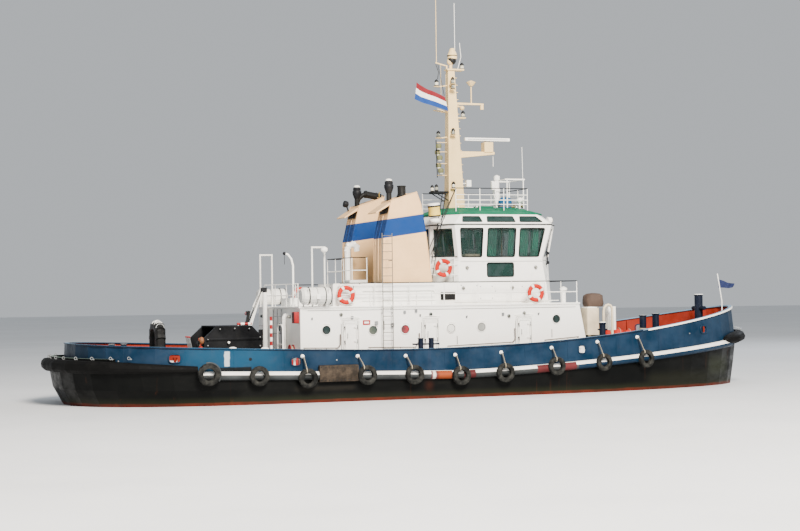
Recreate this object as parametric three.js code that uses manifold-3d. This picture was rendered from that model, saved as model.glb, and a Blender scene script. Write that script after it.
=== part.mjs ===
// A harbour tug with two cycloidal propellers under its fore body and a deep skeg aft.
// Millimetres. X points forward, Y to port and Z up. The origin is amidships on the waterline.
import * as THREE from "three";
import { mergeVertices } from "three/addons/utils/BufferGeometryUtils.js";
import Module from "manifold-3d";

const wasm = await Module();
wasm.setup();

// Driving dimensions
const SEAT = 0.3; // gap between pieces that touch
const STERN = -15200; // hull at deck level
const STEM = 15400;
const HALF_BEAM = 4650;
const DECK_MID = 1100; // main deck above the water amidships
const RAIL_MID = 1980; // bulwark top amidships
const BOTTOM = -2550; // flat of bottom
const KEEL_LOW = -4350; // foot of skeg and guard
const HOUSE = { aft: -5900, fore: 6290, foreFoot: 6830, half: 3100, top: 3640, wall: 80 };
const BOAT_DECK = 3700;
const CASING_TOP = 4620;
const SILL = 5520; // wheelhouse window sill
const EAVE = 7000;
const ROOF_EDGE = 7430;
const ROOF_TOP = 7750;
const MAST_TOP = 13750;
const WALL = 60; // wheelhouse wall
const ROTOR = { x: 4600, y: 1750, disc: 1180, orbit: 950, blade: 1450, chord: 520, thick: 110 };
const SHAFT_GAP = 0.2; // running gap round a faceted shaft

// Colours seen in the photograph
const BLACK = 0x17181a;
const BLUE = 0x14507c;
const WHITE = 0xf0efea;
const CREAM = 0xf0dec4;
const GREEN = 0x0f8f6c;
const RUBBER = 0x1c1c1d;
const STEEL = 0x8a8d90;
const RED_OXIDE = 0x7c2b22;

// Solids
function solid(geometry) {
  const bare = (geometry.index ? geometry.toNonIndexed() : geometry).clone();
  bare.deleteAttribute("normal");
  bare.deleteAttribute("uv");
  const merged = mergeVertices(bare, 1e-3);
  return new wasm.Manifold(
    new wasm.Mesh({
      numProp: 3,
      vertProperties: new Float32Array(merged.attributes.position.array),
      triVerts: new Uint32Array(merged.index.array),
    }),
  );
}

function geometryOf(body) {
  const mesh = body.getMesh();
  const points = new Float32Array(mesh.numVert * 3);
  for (let i = 0; i < mesh.numVert; i++)
    points.set(mesh.vertProperties.subarray(i * mesh.numProp, i * mesh.numProp + 3), i * 3);
  const geometry = new THREE.BufferGeometry();
  geometry.setAttribute("position", new THREE.BufferAttribute(points, 3));
  geometry.setIndex(new THREE.BufferAttribute(new Uint32Array(mesh.triVerts), 1));
  return geometry;
}

const join = (bodies) => bodies.reduce((a, b) => a.add(b));
const cut = (body, tools) => tools.reduce((a, b) => a.subtract(b), body);

// A closed surface through rings of equal length, capped at both ends by strips
function loft(rings) {
  const n = rings[0].length;
  const points = rings.flat(2);
  const index = [];
  for (let k = 0; k + 1 < rings.length; k++)
    for (let i = 0; i < n; i++) {
      const a = k * n + i;
      const b = k * n + ((i + 1) % n);
      index.push(a, b, b + n, a, b + n, a + n);
    }
  const cap = (start, flip) => {
    for (let i = 0, j = n - 1; i + 1 < j; ) {
      const third = i + j < n - 0.5 ? i + 1 : j - 1;
      const tri = [start + i, start + j, start + third];
      index.push(...(flip ? [tri[0], tri[2], tri[1]] : tri));
      if (i + j < n - 0.5) i++;
      else j--;
    }
  };
  cap(0, false);
  cap((rings.length - 1) * n, true);
  const geometry = new THREE.BufferGeometry();
  geometry.setAttribute("position", new THREE.BufferAttribute(new Float32Array(points), 3));
  geometry.setIndex(index);
  const body = solid(geometry);
  if (body.volume() > 0) return body;
  const turned = [];
  for (let i = 0; i < index.length; i += 3) turned.push(index[i], index[i + 2], index[i + 1]);
  geometry.setIndex(turned);
  return solid(geometry);
}

const shapeOf = (points) => new THREE.Shape(points.map(([a, b]) => new THREE.Vector2(a, b)));

// An outline in X and Z, pushed from y0 to y1
function sideSlab(points, y0, y1) {
  const geometry = new THREE.ExtrudeGeometry(shapeOf(points), { depth: y1 - y0, bevelEnabled: false });
  geometry.rotateX(Math.PI / 2);
  geometry.translate(0, y1, 0);
  return solid(geometry);
}

// An outline in Y and Z, pushed from x0 to x1
function crossSlab(points, x0, x1) {
  const geometry = new THREE.ExtrudeGeometry(shapeOf(points), { depth: x1 - x0, bevelEnabled: false });
  geometry.rotateX(Math.PI / 2);
  geometry.rotateZ(Math.PI / 2);
  geometry.translate(x0, 0, 0);
  return solid(geometry);
}

// An outline in X and Y, pushed from z0 to z1
function planSlab(points, z0, z1) {
  const geometry = new THREE.ExtrudeGeometry(shapeOf(points), { depth: z1 - z0, bevelEnabled: false });
  geometry.translate(0, 0, z0);
  return solid(geometry);
}

function box(x0, x1, y0, y1, z0, z1) {
  const geometry = new THREE.BoxGeometry(x1 - x0, y1 - y0, z1 - z0);
  geometry.translate((x0 + x1) / 2, (y0 + y1) / 2, (z0 + z1) / 2);
  return solid(geometry);
}

// A round bar from p to q, which may taper from radius r to radius rq
function bar(p, q, r, sides = 6, rq = r) {
  const a = new THREE.Vector3(...p);
  const b = new THREE.Vector3(...q);
  const along = b.clone().sub(a);
  const geometry = new THREE.CylinderGeometry(rq, r, along.length(), sides);
  geometry.translate(0, along.length() / 2, 0);
  const turn = new THREE.Quaternion().setFromUnitVectors(new THREE.Vector3(0, 1, 0), along.normalize());
  geometry.applyQuaternion(turn);
  geometry.translate(a.x, a.y, a.z);
  return solid(geometry);
}

// Bars along a line of points, each run a little over its corner
function pipe(points, r, sides = 6) {
  const bars = [];
  for (let i = 0; i + 1 < points.length; i++) {
    const a = new THREE.Vector3(...points[i]);
    const b = new THREE.Vector3(...points[i + 1]);
    const step = b.clone().sub(a).setLength(r * 0.9);
    const start = i > 0 ? a.clone().sub(step) : a;
    const end = i + 2 < points.length ? b.clone().add(step) : b;
    bars.push(bar(start.toArray(), end.toArray(), r, sides));
  }
  return join(bars);
}

function ball(x, y, z, r, across = 10, down = 6) {
  const geometry = new THREE.SphereGeometry(r, across, down);
  geometry.translate(x, y, z);
  return solid(geometry);
}

function lathe(profile, sides) {
  const geometry = new THREE.LatheGeometry(profile.map(([r, z]) => new THREE.Vector2(r, z)), sides);
  geometry.rotateX(Math.PI / 2);
  return solid(geometry);
}

// A tapered block between two outlines of equal length
const taper = (low, z0, high, z1) =>
  loft([low.map(([x, y]) => [x, y, z0]), high.map(([x, y]) => [x, y, z1])]);

const mirror = (points) => [...points, ...points.map(([x, y]) => [x, -y]).reverse()];

// Hull form. Sheer is the deck's rise above its height amidships.
function deckRise(x) {
  return x > 0 ? 1000 * (x / 15300) ** 1.5 : 360 * (-x / 15000) ** 1.2;
}

function railZ(x) {
  const from = x + 2300;
  return from > 0 ? RAIL_MID + 1450 * (from / 17300) ** 2.2 : RAIL_MID + 420 * (-from / 12400) ** 1.3;
}

// Half breadth of a plan whose stern rounds off over `run` and whose bow narrows over `entry`
function halfAt(x, plan) {
  const { stern, stem, half, run, round, entry } = plan;
  if (x <= stern || x >= stem) return 0;
  if (x < stern + run) {
    const u = (stern + run - x) / run;
    return half * (1 - u ** round) ** (1 / round);
  }
  if (x > stem - entry) {
    const u = (x - stem + entry) / entry;
    return half * (1 - u ** 2.4) ** 0.55;
  }
  return half;
}

const STEPS = 26; // stations from stern to stem, closer at the ends
const spread = Array.from({ length: STEPS + 1 }, (_, i) => (1 - Math.cos((Math.PI * i) / STEPS)) / 2);
const stationX = (plan) => spread.map((u) => plan.stern + (plan.stem - plan.stern) * u);

const DECK_PLAN = { stern: STERN, stem: STEM, half: HALF_BEAM, run: 6200, round: 2.5, entry: 14350 };
const deckStations = stationX(DECK_PLAN);

// Height of the deck, straight between its stations as the hull is
function deckZ(x) {
  const i = Math.min(Math.max(deckStations.findIndex((s) => s >= x), 1), STEPS);
  const [a, b] = [deckStations[i - 1], deckStations[i]];
  const t = (x - a) / (b - a);
  return DECK_MID + deckRise(a) * (1 - t) + deckRise(b) * t;
}

// Waterlines of the hull, from the flat of bottom up; sheer is the share of the deck's sheer
const WATERLINES = [
  { z: BOTTOM, stern: -6500, stem: 10500, half: 3300, run: 5000, round: 2, entry: 9000, sheer: 0 },
  { z: -2400, stern: -8200, stem: 11900, half: 4000, run: 6500, round: 2, entry: 10500, sheer: 0 },
  { z: -1900, stern: -10700, stem: 13300, half: 4450, run: 8000, round: 2, entry: 12000, sheer: 0 },
  { z: -1100, stern: -13000, stem: 14500, half: 4600, run: 8500, round: 2.1, entry: 13500, sheer: 0 },
  { z: -200, stern: -14600, stem: 15050, half: 4650, run: 7500, round: 2.3, entry: 14100, sheer: 0 },
  { z: 500, stern: -15050, stem: 15250, half: 4650, run: 6500, round: 2.5, entry: 14250, sheer: 0.45 },
  { z: DECK_MID, ...DECK_PLAN, sheer: 1 },
];

function hullRing(line) {
  const xs = stationX(line);
  const side = xs.map((x) => [x, -halfAt(x, line), line.z + line.sheer * deckRise(x)]);
  const back = side.slice(1, -1).reverse().map(([x, y, z]) => [x, -y, z]);
  return [...side, ...back];
}

// Caps of a hull ring join the two sides station by station
function hullSolid() {
  const rings = WATERLINES.map(hullRing);
  const n = rings[0].length;
  const points = rings.flat(2);
  const index = [];
  for (let k = 0; k + 1 < rings.length; k++)
    for (let i = 0; i < n; i++) {
      const a = k * n + i;
      const b = k * n + ((i + 1) % n);
      index.push(a, b, b + n, a, b + n, a + n);
    }
  const across = (start, i) => start + ((n - i) % n);
  const last = (rings.length - 1) * n;
  for (let i = 0; i < STEPS; i++) {
    const quads = [[0, false], [last, true]];
    for (const [start, up] of quads) {
      const [s0, s1, p0, p1] = [start + i, start + i + 1, across(start, i), across(start, i + 1)];
      const tris = [];
      if (s0 !== p0) tris.push([s0, p0, s1]);
      if (s1 !== p1) tris.push([s1, p0, p1]);
      for (const [a, b, c] of tris) index.push(...(up ? [a, c, b] : [a, b, c]));
    }
  }
  const geometry = new THREE.BufferGeometry();
  geometry.setAttribute("position", new THREE.BufferAttribute(new Float32Array(points), 3));
  geometry.setIndex(index);
  return solid(geometry);
}

// Everything under the deck, so that what stands on the deck can be trimmed to its sheer
const UNDER = { aft: -16000, fore: 16500, low: -500, half: 6000 };
const sheerLine = [...deckStations].reverse().map((x) => [x, deckZ(x) + SEAT]);
const underOutline = [
  [UNDER.aft, UNDER.low],
  [UNDER.fore, UNDER.low],
  [UNDER.fore, deckZ(STEM) + SEAT],
  ...sheerLine,
  [UNDER.aft, deckZ(STERN) + SEAT],
];
const underDeck = sideSlab(underOutline, -UNDER.half, UNDER.half);
const onDeck = (body) => body.subtract(underDeck);

// Half breadth of the deck, straight between its stations as the hull is
function deckHalf(x) {
  const i = Math.min(Math.max(deckStations.findIndex((s) => s >= x), 1), STEPS);
  const [a, b] = [deckStations[i - 1], deckStations[i]];
  const t = Math.min(Math.max((x - a) / (b - a), 0), 1);
  return halfAt(a, DECK_PLAN) * (1 - t) + halfAt(b, DECK_PLAN) * t;
}

// Points along the deck edge on starboard, with the outward direction at each
function edgeRun(from, to) {
  const xs = [from, ...deckStations.filter((x) => x > from + 60 && x < to - 60), to];
  const at = (x) => [x, -deckHalf(x)];
  return xs.map((x) => {
    const [a, b] = [at(Math.max(x - 20, STERN)), at(Math.min(x + 20, STEM))];
    const length = Math.hypot(b[0] - a[0], b[1] - a[1]);
    return { x, y: at(x)[1], out: [(b[1] - a[1]) / length, -(b[0] - a[0]) / length] };
  });
}

// A run on starboard, round an end if both sides are asked for
function bothSides(run, endFirst) {
  const port = run.map(({ x, y, out }) => ({ x, y: -y, out: [out[0], -out[1]] }));
  const ends = (p) => Math.abs(p.y) < 1;
  return endFirst
    ? [...port.reverse().filter((p) => !ends(p)), ...run]
    : [...run, ...port.reverse().filter((p) => !ends(p))];
}

// A section of offsets and heights carried along a run
function moulding(run, section) {
  const rings = run.map((p) => {
    const deck = deckZ(Math.min(Math.max(p.x, STERN), STEM));
    return section(p).map(([o, z]) => [p.x + p.out[0] * o, p.y + p.out[1] * o, deck + z]);
  });
  return loft(rings);
}

// Scene
const tug = new THREE.Group();

function add(name, body, colour, roughness = 0.55, metalness = 0, place = [0, 0, 0], turn = [0, 0, 0]) {
  const geometry = body.getMesh ? geometryOf(body) : body;
  const paint = new THREE.MeshStandardMaterial({ color: colour, roughness, metalness });
  const mesh = new THREE.Mesh(geometry, paint);
  mesh.name = name;
  mesh.position.set(...place);
  mesh.rotation.set(...turn);
  tug.add(mesh);
}

const SIDES = [["starboard", -1], ["port", 1]];
const flip = (body, side) => (side < 0 ? body : body.mirror([0, 1, 0]));

// Hull with a round pocket for each propeller's shaft
const SHAFT = 300;
const POCKET = 200;
function shaftPocket(side) {
  const r = (SHAFT + SHAFT_GAP) / Math.cos(Math.PI / 32);
  return bar([ROTOR.x, side * ROTOR.y, BOTTOM - 50], [ROTOR.x, side * ROTOR.y, BOTTOM + POCKET], r, 32);
}
const shelfRun = bothSides(edgeRun(STERN, -13400), true);
const sternShelf = moulding(shelfRun, () => [[-30, 420], [-210, 420], [-210, -50], [-30, -50]]);
const hull = cut(join([hullSolid(), sternShelf]), SIDES.map(([, side]) => shaftPocket(side)));
add("hull", hull, BLACK, 0.5);

// Skeg, trimmed to the rising run of the hull, on a wider foot bar
const SKEG = { aft: -14100, half: 210, footFore: -6500, footHalf: 330, footThick: 120 };
const skegOutline = [[-3800, -1500], [SKEG.aft, -300], [SKEG.aft, KEEL_LOW], [-6300, KEEL_LOW]];
const skegPlate = sideSlab(skegOutline, -SKEG.half, SKEG.half);
const footTop = KEEL_LOW + SKEG.footThick;
const skegFoot = box(SKEG.aft, SKEG.footFore, -SKEG.footHalf, SKEG.footHalf, KEEL_LOW, footTop);
const aboveWater = box(-16000, 0, -900, 900, 0, 900);
const skeg = cut(join([skegPlate, skegFoot]), [hull.translate([0, 0, -SEAT]), aboveWater]);
add("skeg", skeg, RED_OXIDE, 0.6);

// Guard plate under the propellers, on foil struts
const GUARD = { x0: 2850, x1: 6450, half: 3050, thick: 110, corner: 700 };
const guardPlan = mirror([
  [GUARD.x0, GUARD.half - GUARD.corner],
  [GUARD.x0 + GUARD.corner, GUARD.half],
  [GUARD.x1 - GUARD.corner, GUARD.half],
  [GUARD.x1, GUARD.half - GUARD.corner],
]);
const foil = (x, y, length, thick) => [
  [x + length / 2, y],
  [x + length * 0.25, y + thick / 2],
  [x - length * 0.15, y + thick / 2],
  [x - length / 2, y],
  [x - length * 0.15, y - thick / 2],
  [x + length * 0.25, y - thick / 2],
];
// Columns: x, y, length, thickness
const STRUTS = [
  [3150, -ROTOR.y, 460, 110],
  [3150, ROTOR.y, 460, 110],
  [6080, -ROTOR.y, 460, 110],
  [6080, ROTOR.y, 460, 110],
  [ROTOR.x, 0, 700, 140],
];
const strutOf = ([x, y, length, thick]) => planSlab(foil(x, y, length, thick), KEEL_LOW + 50, BOTTOM - SEAT);
const guardPlate = planSlab(guardPlan, KEEL_LOW, KEEL_LOW + GUARD.thick);
add("propeller_guard", join([guardPlate, ...STRUTS.map(strutOf)]), RED_OXIDE, 0.6);

// Cycloidal propellers: a disc with upright blades, on a shaft in the hull's pocket
function propeller() {
  const top = -SEAT;
  const rim = [ROTOR.disc, top - 40];
  const disc = [[0, top - 110], [ROTOR.disc - 120, top - 110], rim, [ROTOR.disc, top], [0, top]];
  const pieces = [
    lathe(disc, 32),
    bar([0, 0, top - 20], [0, 0, POCKET - 6], SHAFT, 32),
  ];
  for (let i = 0; i < 5; i++) {
    const angle = (i * Math.PI * 2) / 5;
    const blade = planSlab(foil(0, 0, ROTOR.chord, ROTOR.thick), top - 100 - ROTOR.blade, top - 60);
    pieces.push(blade.translate([0, -ROTOR.orbit, 0]).rotate([0, 0, (angle * 180) / Math.PI]));
  }
  return join(pieces);
}
for (const [name, side] of SIDES)
  add("propeller_" + name, propeller(), 0x9a8a5a, 0.4, 0.6, [ROTOR.x, side * ROTOR.y, BOTTOM]);

// Bulwarks: plate, cap rail and stays, one for each side
const PLATE = 60;
const inset = (plan, by) => ({ ...plan, stern: plan.stern + by, stem: plan.stem - by, half: plan.half - by });
const BULWARK_FOOT = { stern: -14600, stem: 15370, half: 4630, run: 5600, round: 2.5, entry: 14320 };
const BULWARK_HEAD = { stern: -14560, stem: 15200, half: 4600, run: 5560, round: 2.5, entry: 14000 };
function bulwarkBand(foot, head, low, high) {
  const strip = (plan, z) => stationX(plan).map((x) => [x, -halfAt(x, plan) - SEAT, z(x)]);
  const corners = [strip(foot[0], low), strip(head[0], high), strip(head[1], high), strip(foot[1], low)];
  return loft(spread.map((_, i) => corners.map((line) => line[i])));
}
// Columns: x of each stay
const STAYS = [-13000, -11900, -9700, -8100, -5100, -3300, -1500, 300, 2100, 3900, 7100, 8300, 10700, 11700];
const STAY = { foot: 330, head: 90, half: 20, in: 30 };
const CAP = { out: 30, in: 130, thick: 40 };
// Columns: x, z, radius along the ship, radius upwards, of the fairleads
const FAIRLEADS = [
  [-11230, 1830, 210, 150],
  [-6540, 1600, 200, 150],
  [5720, 1780, 150, 150],
  [12300, 2450, 190, 150],
];
// A hole in X and Z with its sides drawn out towards a square
function roundedHole(x, z, rx, rz) {
  const bulge = (v) => Math.sign(v) * Math.abs(v) ** 0.6;
  return Array.from({ length: 16 }, (_, k) => {
    const t = (k * Math.PI) / 8;
    return [x + rx * bulge(Math.cos(t)), z + rz * bulge(Math.sin(t))];
  });
}
function bulwark() {
  const foot = [BULWARK_FOOT, inset(BULWARK_FOOT, PLATE)];
  const head = [BULWARK_HEAD, inset(BULWARK_HEAD, PLATE)];
  const plate = bulwarkBand(foot, head, (x) => deckZ(x) - 40, (x) => railZ(x) - 20);
  const edge = [inset(BULWARK_HEAD, -CAP.out), inset(BULWARK_HEAD, CAP.in)];
  const cap = bulwarkBand(edge, edge, (x) => railZ(x) - CAP.thick, railZ);
  const stays = STAYS.map((x) => {
    const [low, high] = [-halfAt(x, BULWARK_FOOT) + STAY.in, -halfAt(x, BULWARK_HEAD) + STAY.in];
    const [z0, z1] = [deckZ(x) - 100, railZ(x) - 30];
    const outline = [[low, z0], [low + STAY.foot, z0], [high + STAY.head, z1], [high, z1]];
    return crossSlab(outline, x - STAY.half, x + STAY.half);
  });
  const holes = FAIRLEADS.map(([x, z, rx, rz]) => {
    const wall = -halfAt(x, BULWARK_FOOT);
    return sideSlab(roundedHole(x, z, rx, rz), wall - 800, wall + 800);
  });
  return cut(onDeck(join([plate, cap, ...stays])), holes);
}
for (const [name, side] of SIDES) add("bulwark_" + name, flip(bulwark(), side), BLUE, 0.45);

// Rubbing strake with its tyres, one for each side
const STRAKE_FROM = -10350;
const STRAKE_TO = 14240;
const strakeSection = () => [
  [SEAT, -5],
  [110, -15],
  [190, -90],
  [205, -170],
  [190, -250],
  [110, -325],
  [SEAT, -335],
];
// Columns: x, z, outer radius
const TYRES = [
  [-10030, 1210, 430],
  [-8080, 1100, 385],
  [-6150, 960, 385],
  [-3750, 1020, 385],
  [-1790, 980, 385],
  [190, 890, 385],
  [2090, 950, 385],
  [4380, 1150, 375],
  [6600, 1240, 360],
  [8700, 1320, 375],
];
function tyre(r) {
  const [inner, half, shoulder] = [r * 0.52, r * 0.28, r * 0.85];
  const bead = half * 0.7;
  const foot = [inner, -bead];
  return lathe([foot, [shoulder, -half], [r, 0], [shoulder, half], [inner, bead], foot], 12);
}
function sideTangent(x, plan) {
  const [a, b] = [halfAt(x - 100, plan), halfAt(x + 100, plan)];
  return Math.atan2(a - b, 200);
}
function strake() {
  const rail = moulding(edgeRun(STRAKE_FROM, STRAKE_TO), strakeSection);
  const tyres = TYRES.map(([x, z, r]) => {
    const angle = sideTangent(x, DECK_PLAN);
    const out = 205 + r * 0.28 - 35;
    const [px, py] = [x + Math.sin(angle) * out, -halfAt(x, DECK_PLAN) - Math.cos(angle) * out];
    return tyre(r).rotate([90, 0, 0]).rotate([0, 0, (angle * 180) / Math.PI]).translate([px, py, z]);
  });
  return join([rail, ...tyres]);
}
for (const [name, side] of SIDES) add("strake_" + name, flip(strake(), side), RUBBER, 0.85);

// Rubber fenders round the stern and the stem
const STERN_FENDER_TO = -10400;
function fenderSection(p) {
  const t = Math.min(1, Math.max(0, (STERN_FENDER_TO - p.x) / 3500));
  const half = 130 + 120 * t;
  const deep = 170 + 140 * t;
  const mid = 60 + 40 * t;
  // Columns: share of the depth, share of the half height
  const round = [[0.6, 0.92], [0.93, 0.5], [1, 0], [0.93, -0.5], [0.6, -0.92]];
  const face = round.map(([a, b]) => [deep * a, mid + half * b]);
  return [[SEAT, mid + half], ...face, [SEAT, mid - half]];
}
const sternRun = bothSides(edgeRun(STERN, STERN_FENDER_TO), true);
add("stern_fender", moulding(sternRun, fenderSection), RUBBER, 0.85);
const BOW_FENDER_FROM = 14270;
const bowRun = bothSides(edgeRun(BOW_FENDER_FROM, STEM), false);
const bowSection = () => [
  [SEAT, 260],
  [200, 250],
  [380, 160],
  [440, 20],
  [400, -120],
  [240, -220],
  [SEAT, -230],
];
add("bow_fender", moulding(bowRun, bowSection), RUBBER, 0.85);

// Deckhouse: hollow, with three doorways a side
const DOOR = { width: 650, height: 1650, foot: 1480, gap: 10 };
// Columns: name, x of the hinge at the forward edge
const DOORWAYS = [["aft", -3500], ["mid", -80], ["fore", 4060]];
const houseOuter = [[HOUSE.aft, 900], [HOUSE.foreFoot, 900], [HOUSE.fore, HOUSE.top], [HOUSE.aft, HOUSE.top]];
const houseInner = [
  [HOUSE.aft + HOUSE.wall, 800],
  [HOUSE.foreFoot - HOUSE.wall + 20, 800],
  [HOUSE.fore - HOUSE.wall - 20, 3800],
  [HOUSE.aft + HOUSE.wall, 3800],
];
const doorHole = ([, x]) => box(x - DOOR.width, x, -4000, 4000, DOOR.foot, DOOR.foot + DOOR.height);
const houseHollow = sideSlab(houseInner, -HOUSE.half + HOUSE.wall, HOUSE.half - HOUSE.wall);
const house = cut(sideSlab(houseOuter, -HOUSE.half, HOUSE.half), [houseHollow, ...DOORWAYS.map(doorHole)]);
add("deckhouse", onDeck(house), WHITE, 0.45);
const boatDeckPlan = mirror([[HOUSE.aft - 60, HOUSE.half + 40], [HOUSE.fore + 20, HOUSE.half + 40]]);
add("boat_deck", planSlab(boatDeckPlan, HOUSE.top + SEAT, BOAT_DECK), 0x5c6a60, 0.7);

// A door leaf about its hinge, which stands outside the wall
const HINGE = 20; // wall face to hinge line
function doorLeaf(width, height, thick) {
  const top = height / 2 - DOOR.gap;
  const leaf = box(-width + DOOR.gap, -DOOR.gap, HINGE, HINGE + thick, -top, top);
  const heights = [-1, 1].map((k) => k * height * 0.32);
  const knuckles = heights.map((z) => bar([0, 0, z - 60], [0, 0, z + 60], HINGE - SEAT, 10));
  const straps = heights.map((z) => box(-160, -5, -8, HINGE + 4, z - 25, z + 25));
  return join([leaf, ...knuckles, ...straps]);
}
for (const [name, side] of SIDES)
  for (const [where, x] of DOORWAYS)
    add(
      "door_" + where + "_" + name,
      doorLeaf(DOOR.width, DOOR.height, 50),
      WHITE,
      0.45,
      0,
      [x, side * (HOUSE.half + HINGE), DOOR.foot + DOOR.height / 2],
      side < 0 ? [0, 0, 0] : [Math.PI, 0, 0],
    );

// Casing under the funnels and the trunk under the wheelhouse
const CASING = { aft: -3300, fore: -100, half: 2850 };
const trunkLow = mirror([[CASING.fore - 100, 2500], [5150, 2500], [5760, 1480]]);
const trunkHigh = mirror([[CASING.fore - 100, 2500], [5050, 2500], [5690, 1450]]);
const casing = join([
  box(CASING.aft, CASING.fore, -CASING.half, CASING.half, BOAT_DECK + SEAT, CASING_TOP),
  taper(trunkLow, BOAT_DECK + SEAT, trunkHigh, CASING_TOP),
]);

// Funnels: side outline in X and Z
const FUNNEL = { y: 2050, half: 600 };
const funnelOutline = [
  [-2250, CASING_TOP + SEAT],
  [-140, CASING_TOP + SEAT],
  [-380, 6650],
  [-490, 7360],
  [-580, 7830],
  [-750, 8310],
  [-1860, 7950],
  [-1980, 7400],
  [-2210, 6430],
];
const visorOutline = [[-1860, 7900], [-2500, 7470], [-2480, 7430], [-1860, 7780]];
// Columns: side, points and radius of the pipe on the top
const EXHAUSTS = {
  starboard: [[[-1180, 0, 8050], [-1190, 0, 8570]], 170],
  port: [[[-560, 0, 8280], [-800, 0, 8390], [-1420, 0, 8500]], 150],
};
for (const [name, side] of SIDES) {
  const y = side * FUNNEL.y;
  const shell = sideSlab(funnelOutline, y - FUNNEL.half, y + FUNNEL.half);
  const visor = sideSlab(visorOutline, y - FUNNEL.half + 60, y + FUNNEL.half - 60);
  const [points, r] = EXHAUSTS[name];
  const exhaust = pipe(points, r, 12).translate([0, y, 0]);
  const vent = bar([-1740, y, 7900], [-1740, y, 8480], 110, 12);
  const ventCap = bar([-1740, y, 8479], [-1740, y, 8780], 150, 12, 90);
  add("funnel_" + name, join([shell, visor, exhaust, vent, ventCap]), CREAM, 0.5);
}

// Wheelhouse: lower walls, window ring, glazing and roof
const cabinFoot = mirror([[250, 1450], [1130, 2450], [5050, 2450], [5685, 1450]]);
const cabinSill = mirror([[250, 1450], [1130, 2450], [4900, 2450], [5640, 1450]]);
const cabinEave = mirror([[250, 1500], [870, 2700], [5250, 2700], [5960, 1450]]);
const cabinBrow = mirror([[620, 1400], [1290, 2350], [4730, 2350], [5430, 1250]]);
const roofEdge = mirror([[580, 1420], [1260, 2390], [4750, 2390], [5475, 1270]]);
const roofCrown = mirror([[1300, 950], [1600, 1400], [4200, 1400], [4700, 850]]);

// An outline drawn in by a distance square to each edge
function shrink(points, by) {
  const n = points.length;
  const cross = ([x, y], [u, v]) => x * v - u * y;
  const area = points.reduce((sum, p, i) => sum + cross(p, points[(i + 1) % n]), 0);
  const sign = Math.sign(area);
  return points.map(([x, y], i) => {
    const [px, py] = points[(i + n - 1) % n];
    const [qx, qy] = points[(i + 1) % n];
    const a = new THREE.Vector2(x - px, y - py).normalize();
    const b = new THREE.Vector2(qx - x, qy - y).normalize();
    const na = new THREE.Vector2(-a.y, a.x).multiplyScalar(sign);
    const nb = new THREE.Vector2(-b.y, b.x).multiplyScalar(sign);
    const mid = na.clone().add(nb).normalize();
    const reach = by / mid.dot(na);
    return [x + mid.x * reach, y + mid.y * reach];
  });
}
const shell = (low, z0, high, z1, wall) =>
  taper(low, z0, high, z1).subtract(taper(shrink(low, wall), z0 - 5, shrink(high, wall), z1 + 5));

const CABIN_DOOR = { y: 330, foot: 4700, head: 6500, height: 1800, width: 660 };
const cabinDoorHole = box(100, 500, -CABIN_DOOR.y, CABIN_DOOR.y, CABIN_DOOR.foot, CABIN_DOOR.head);
const lowPane = box(2400, 3600, -3000, 3000, 4820, 5400);
const lowerWalls = cut(shell(cabinFoot, CASING_TOP + SEAT, cabinSill, SILL, WALL), [lowPane, cabinDoorHole]);
add("wheelhouse_lower", lowerWalls, WHITE, 0.45);

// Window openings. Side panes in X and Z, columns: foot aft, foot fore, head aft, head fore
const SIDE_PANES = [
  [1260, 2160, 1130, 2160],
  [2380, 3640, 2380, 3640],
  [3830, 4740, 3830, 4960],
];
const PANE_LOW = 5650;
const PANE_HIGH = 6830;
const sidePanes = SIDE_PANES.map(([a, b, c, d]) =>
  sideSlab([[a, PANE_LOW], [b, PANE_LOW], [d, PANE_HIGH], [c, PANE_HIGH]], -3200, 3200),
);
// Front panes in Y and Z, columns: low and high y
const frontPanes = [[-1320, -480], [-390, 390], [480, 1320]].map(([a, b]) =>
  crossSlab([[a, PANE_LOW], [b, PANE_LOW], [b, PANE_HIGH], [a, PANE_HIGH]], 5300, 6500),
);
const aftPanes = [[-1320, -480], [480, 1320]].map(([a, b]) =>
  crossSlab([[a, PANE_LOW], [b, PANE_LOW], [b, PANE_HIGH], [a, PANE_HIGH]], 0, 600),
);
// Corner panes, columns: x, y, direction outwards in degrees
const CORNER_PANES = [[640, 2000, 133], [640, -2000, -133], [5440, 2010, 33], [5440, -2010, -33]];
const cornerPanes = CORNER_PANES.map(([x, y, degrees]) =>
  box(-450, 450, -490, 490, PANE_LOW, PANE_HIGH).rotate([0, 0, degrees]).translate([x, y, 0]),
);
const windowRing = cut(shell(cabinSill, SILL + SEAT, cabinEave, EAVE, WALL), [
  ...sidePanes,
  ...frontPanes,
  ...aftPanes,
  ...cornerPanes,
  cabinDoorHole,
]);
add("wheelhouse_windows", windowRing, WHITE, 0.45);
const PANE_SEAT = 0.6; // between the panes and the frames
const PANE = 20;
const paneSkin = (by) => taper(shrink(cabinSill, by), SILL - 5, shrink(cabinEave, by), EAVE + 5);
const glazing = paneSkin(WALL + PANE_SEAT)
  .subtract(paneSkin(WALL + PANE_SEAT + PANE))
  .intersect(box(-1000, 8000, -4000, 4000, SILL + 30, EAVE - 30));
const doorGap = box(0, 700, -CABIN_DOOR.y - 60, CABIN_DOOR.y + 60, 4000, CABIN_DOOR.head + 60);
add("wheelhouse_glazing", glazing.subtract(doorGap), 0x9fb8b4, 0.05);

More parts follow.
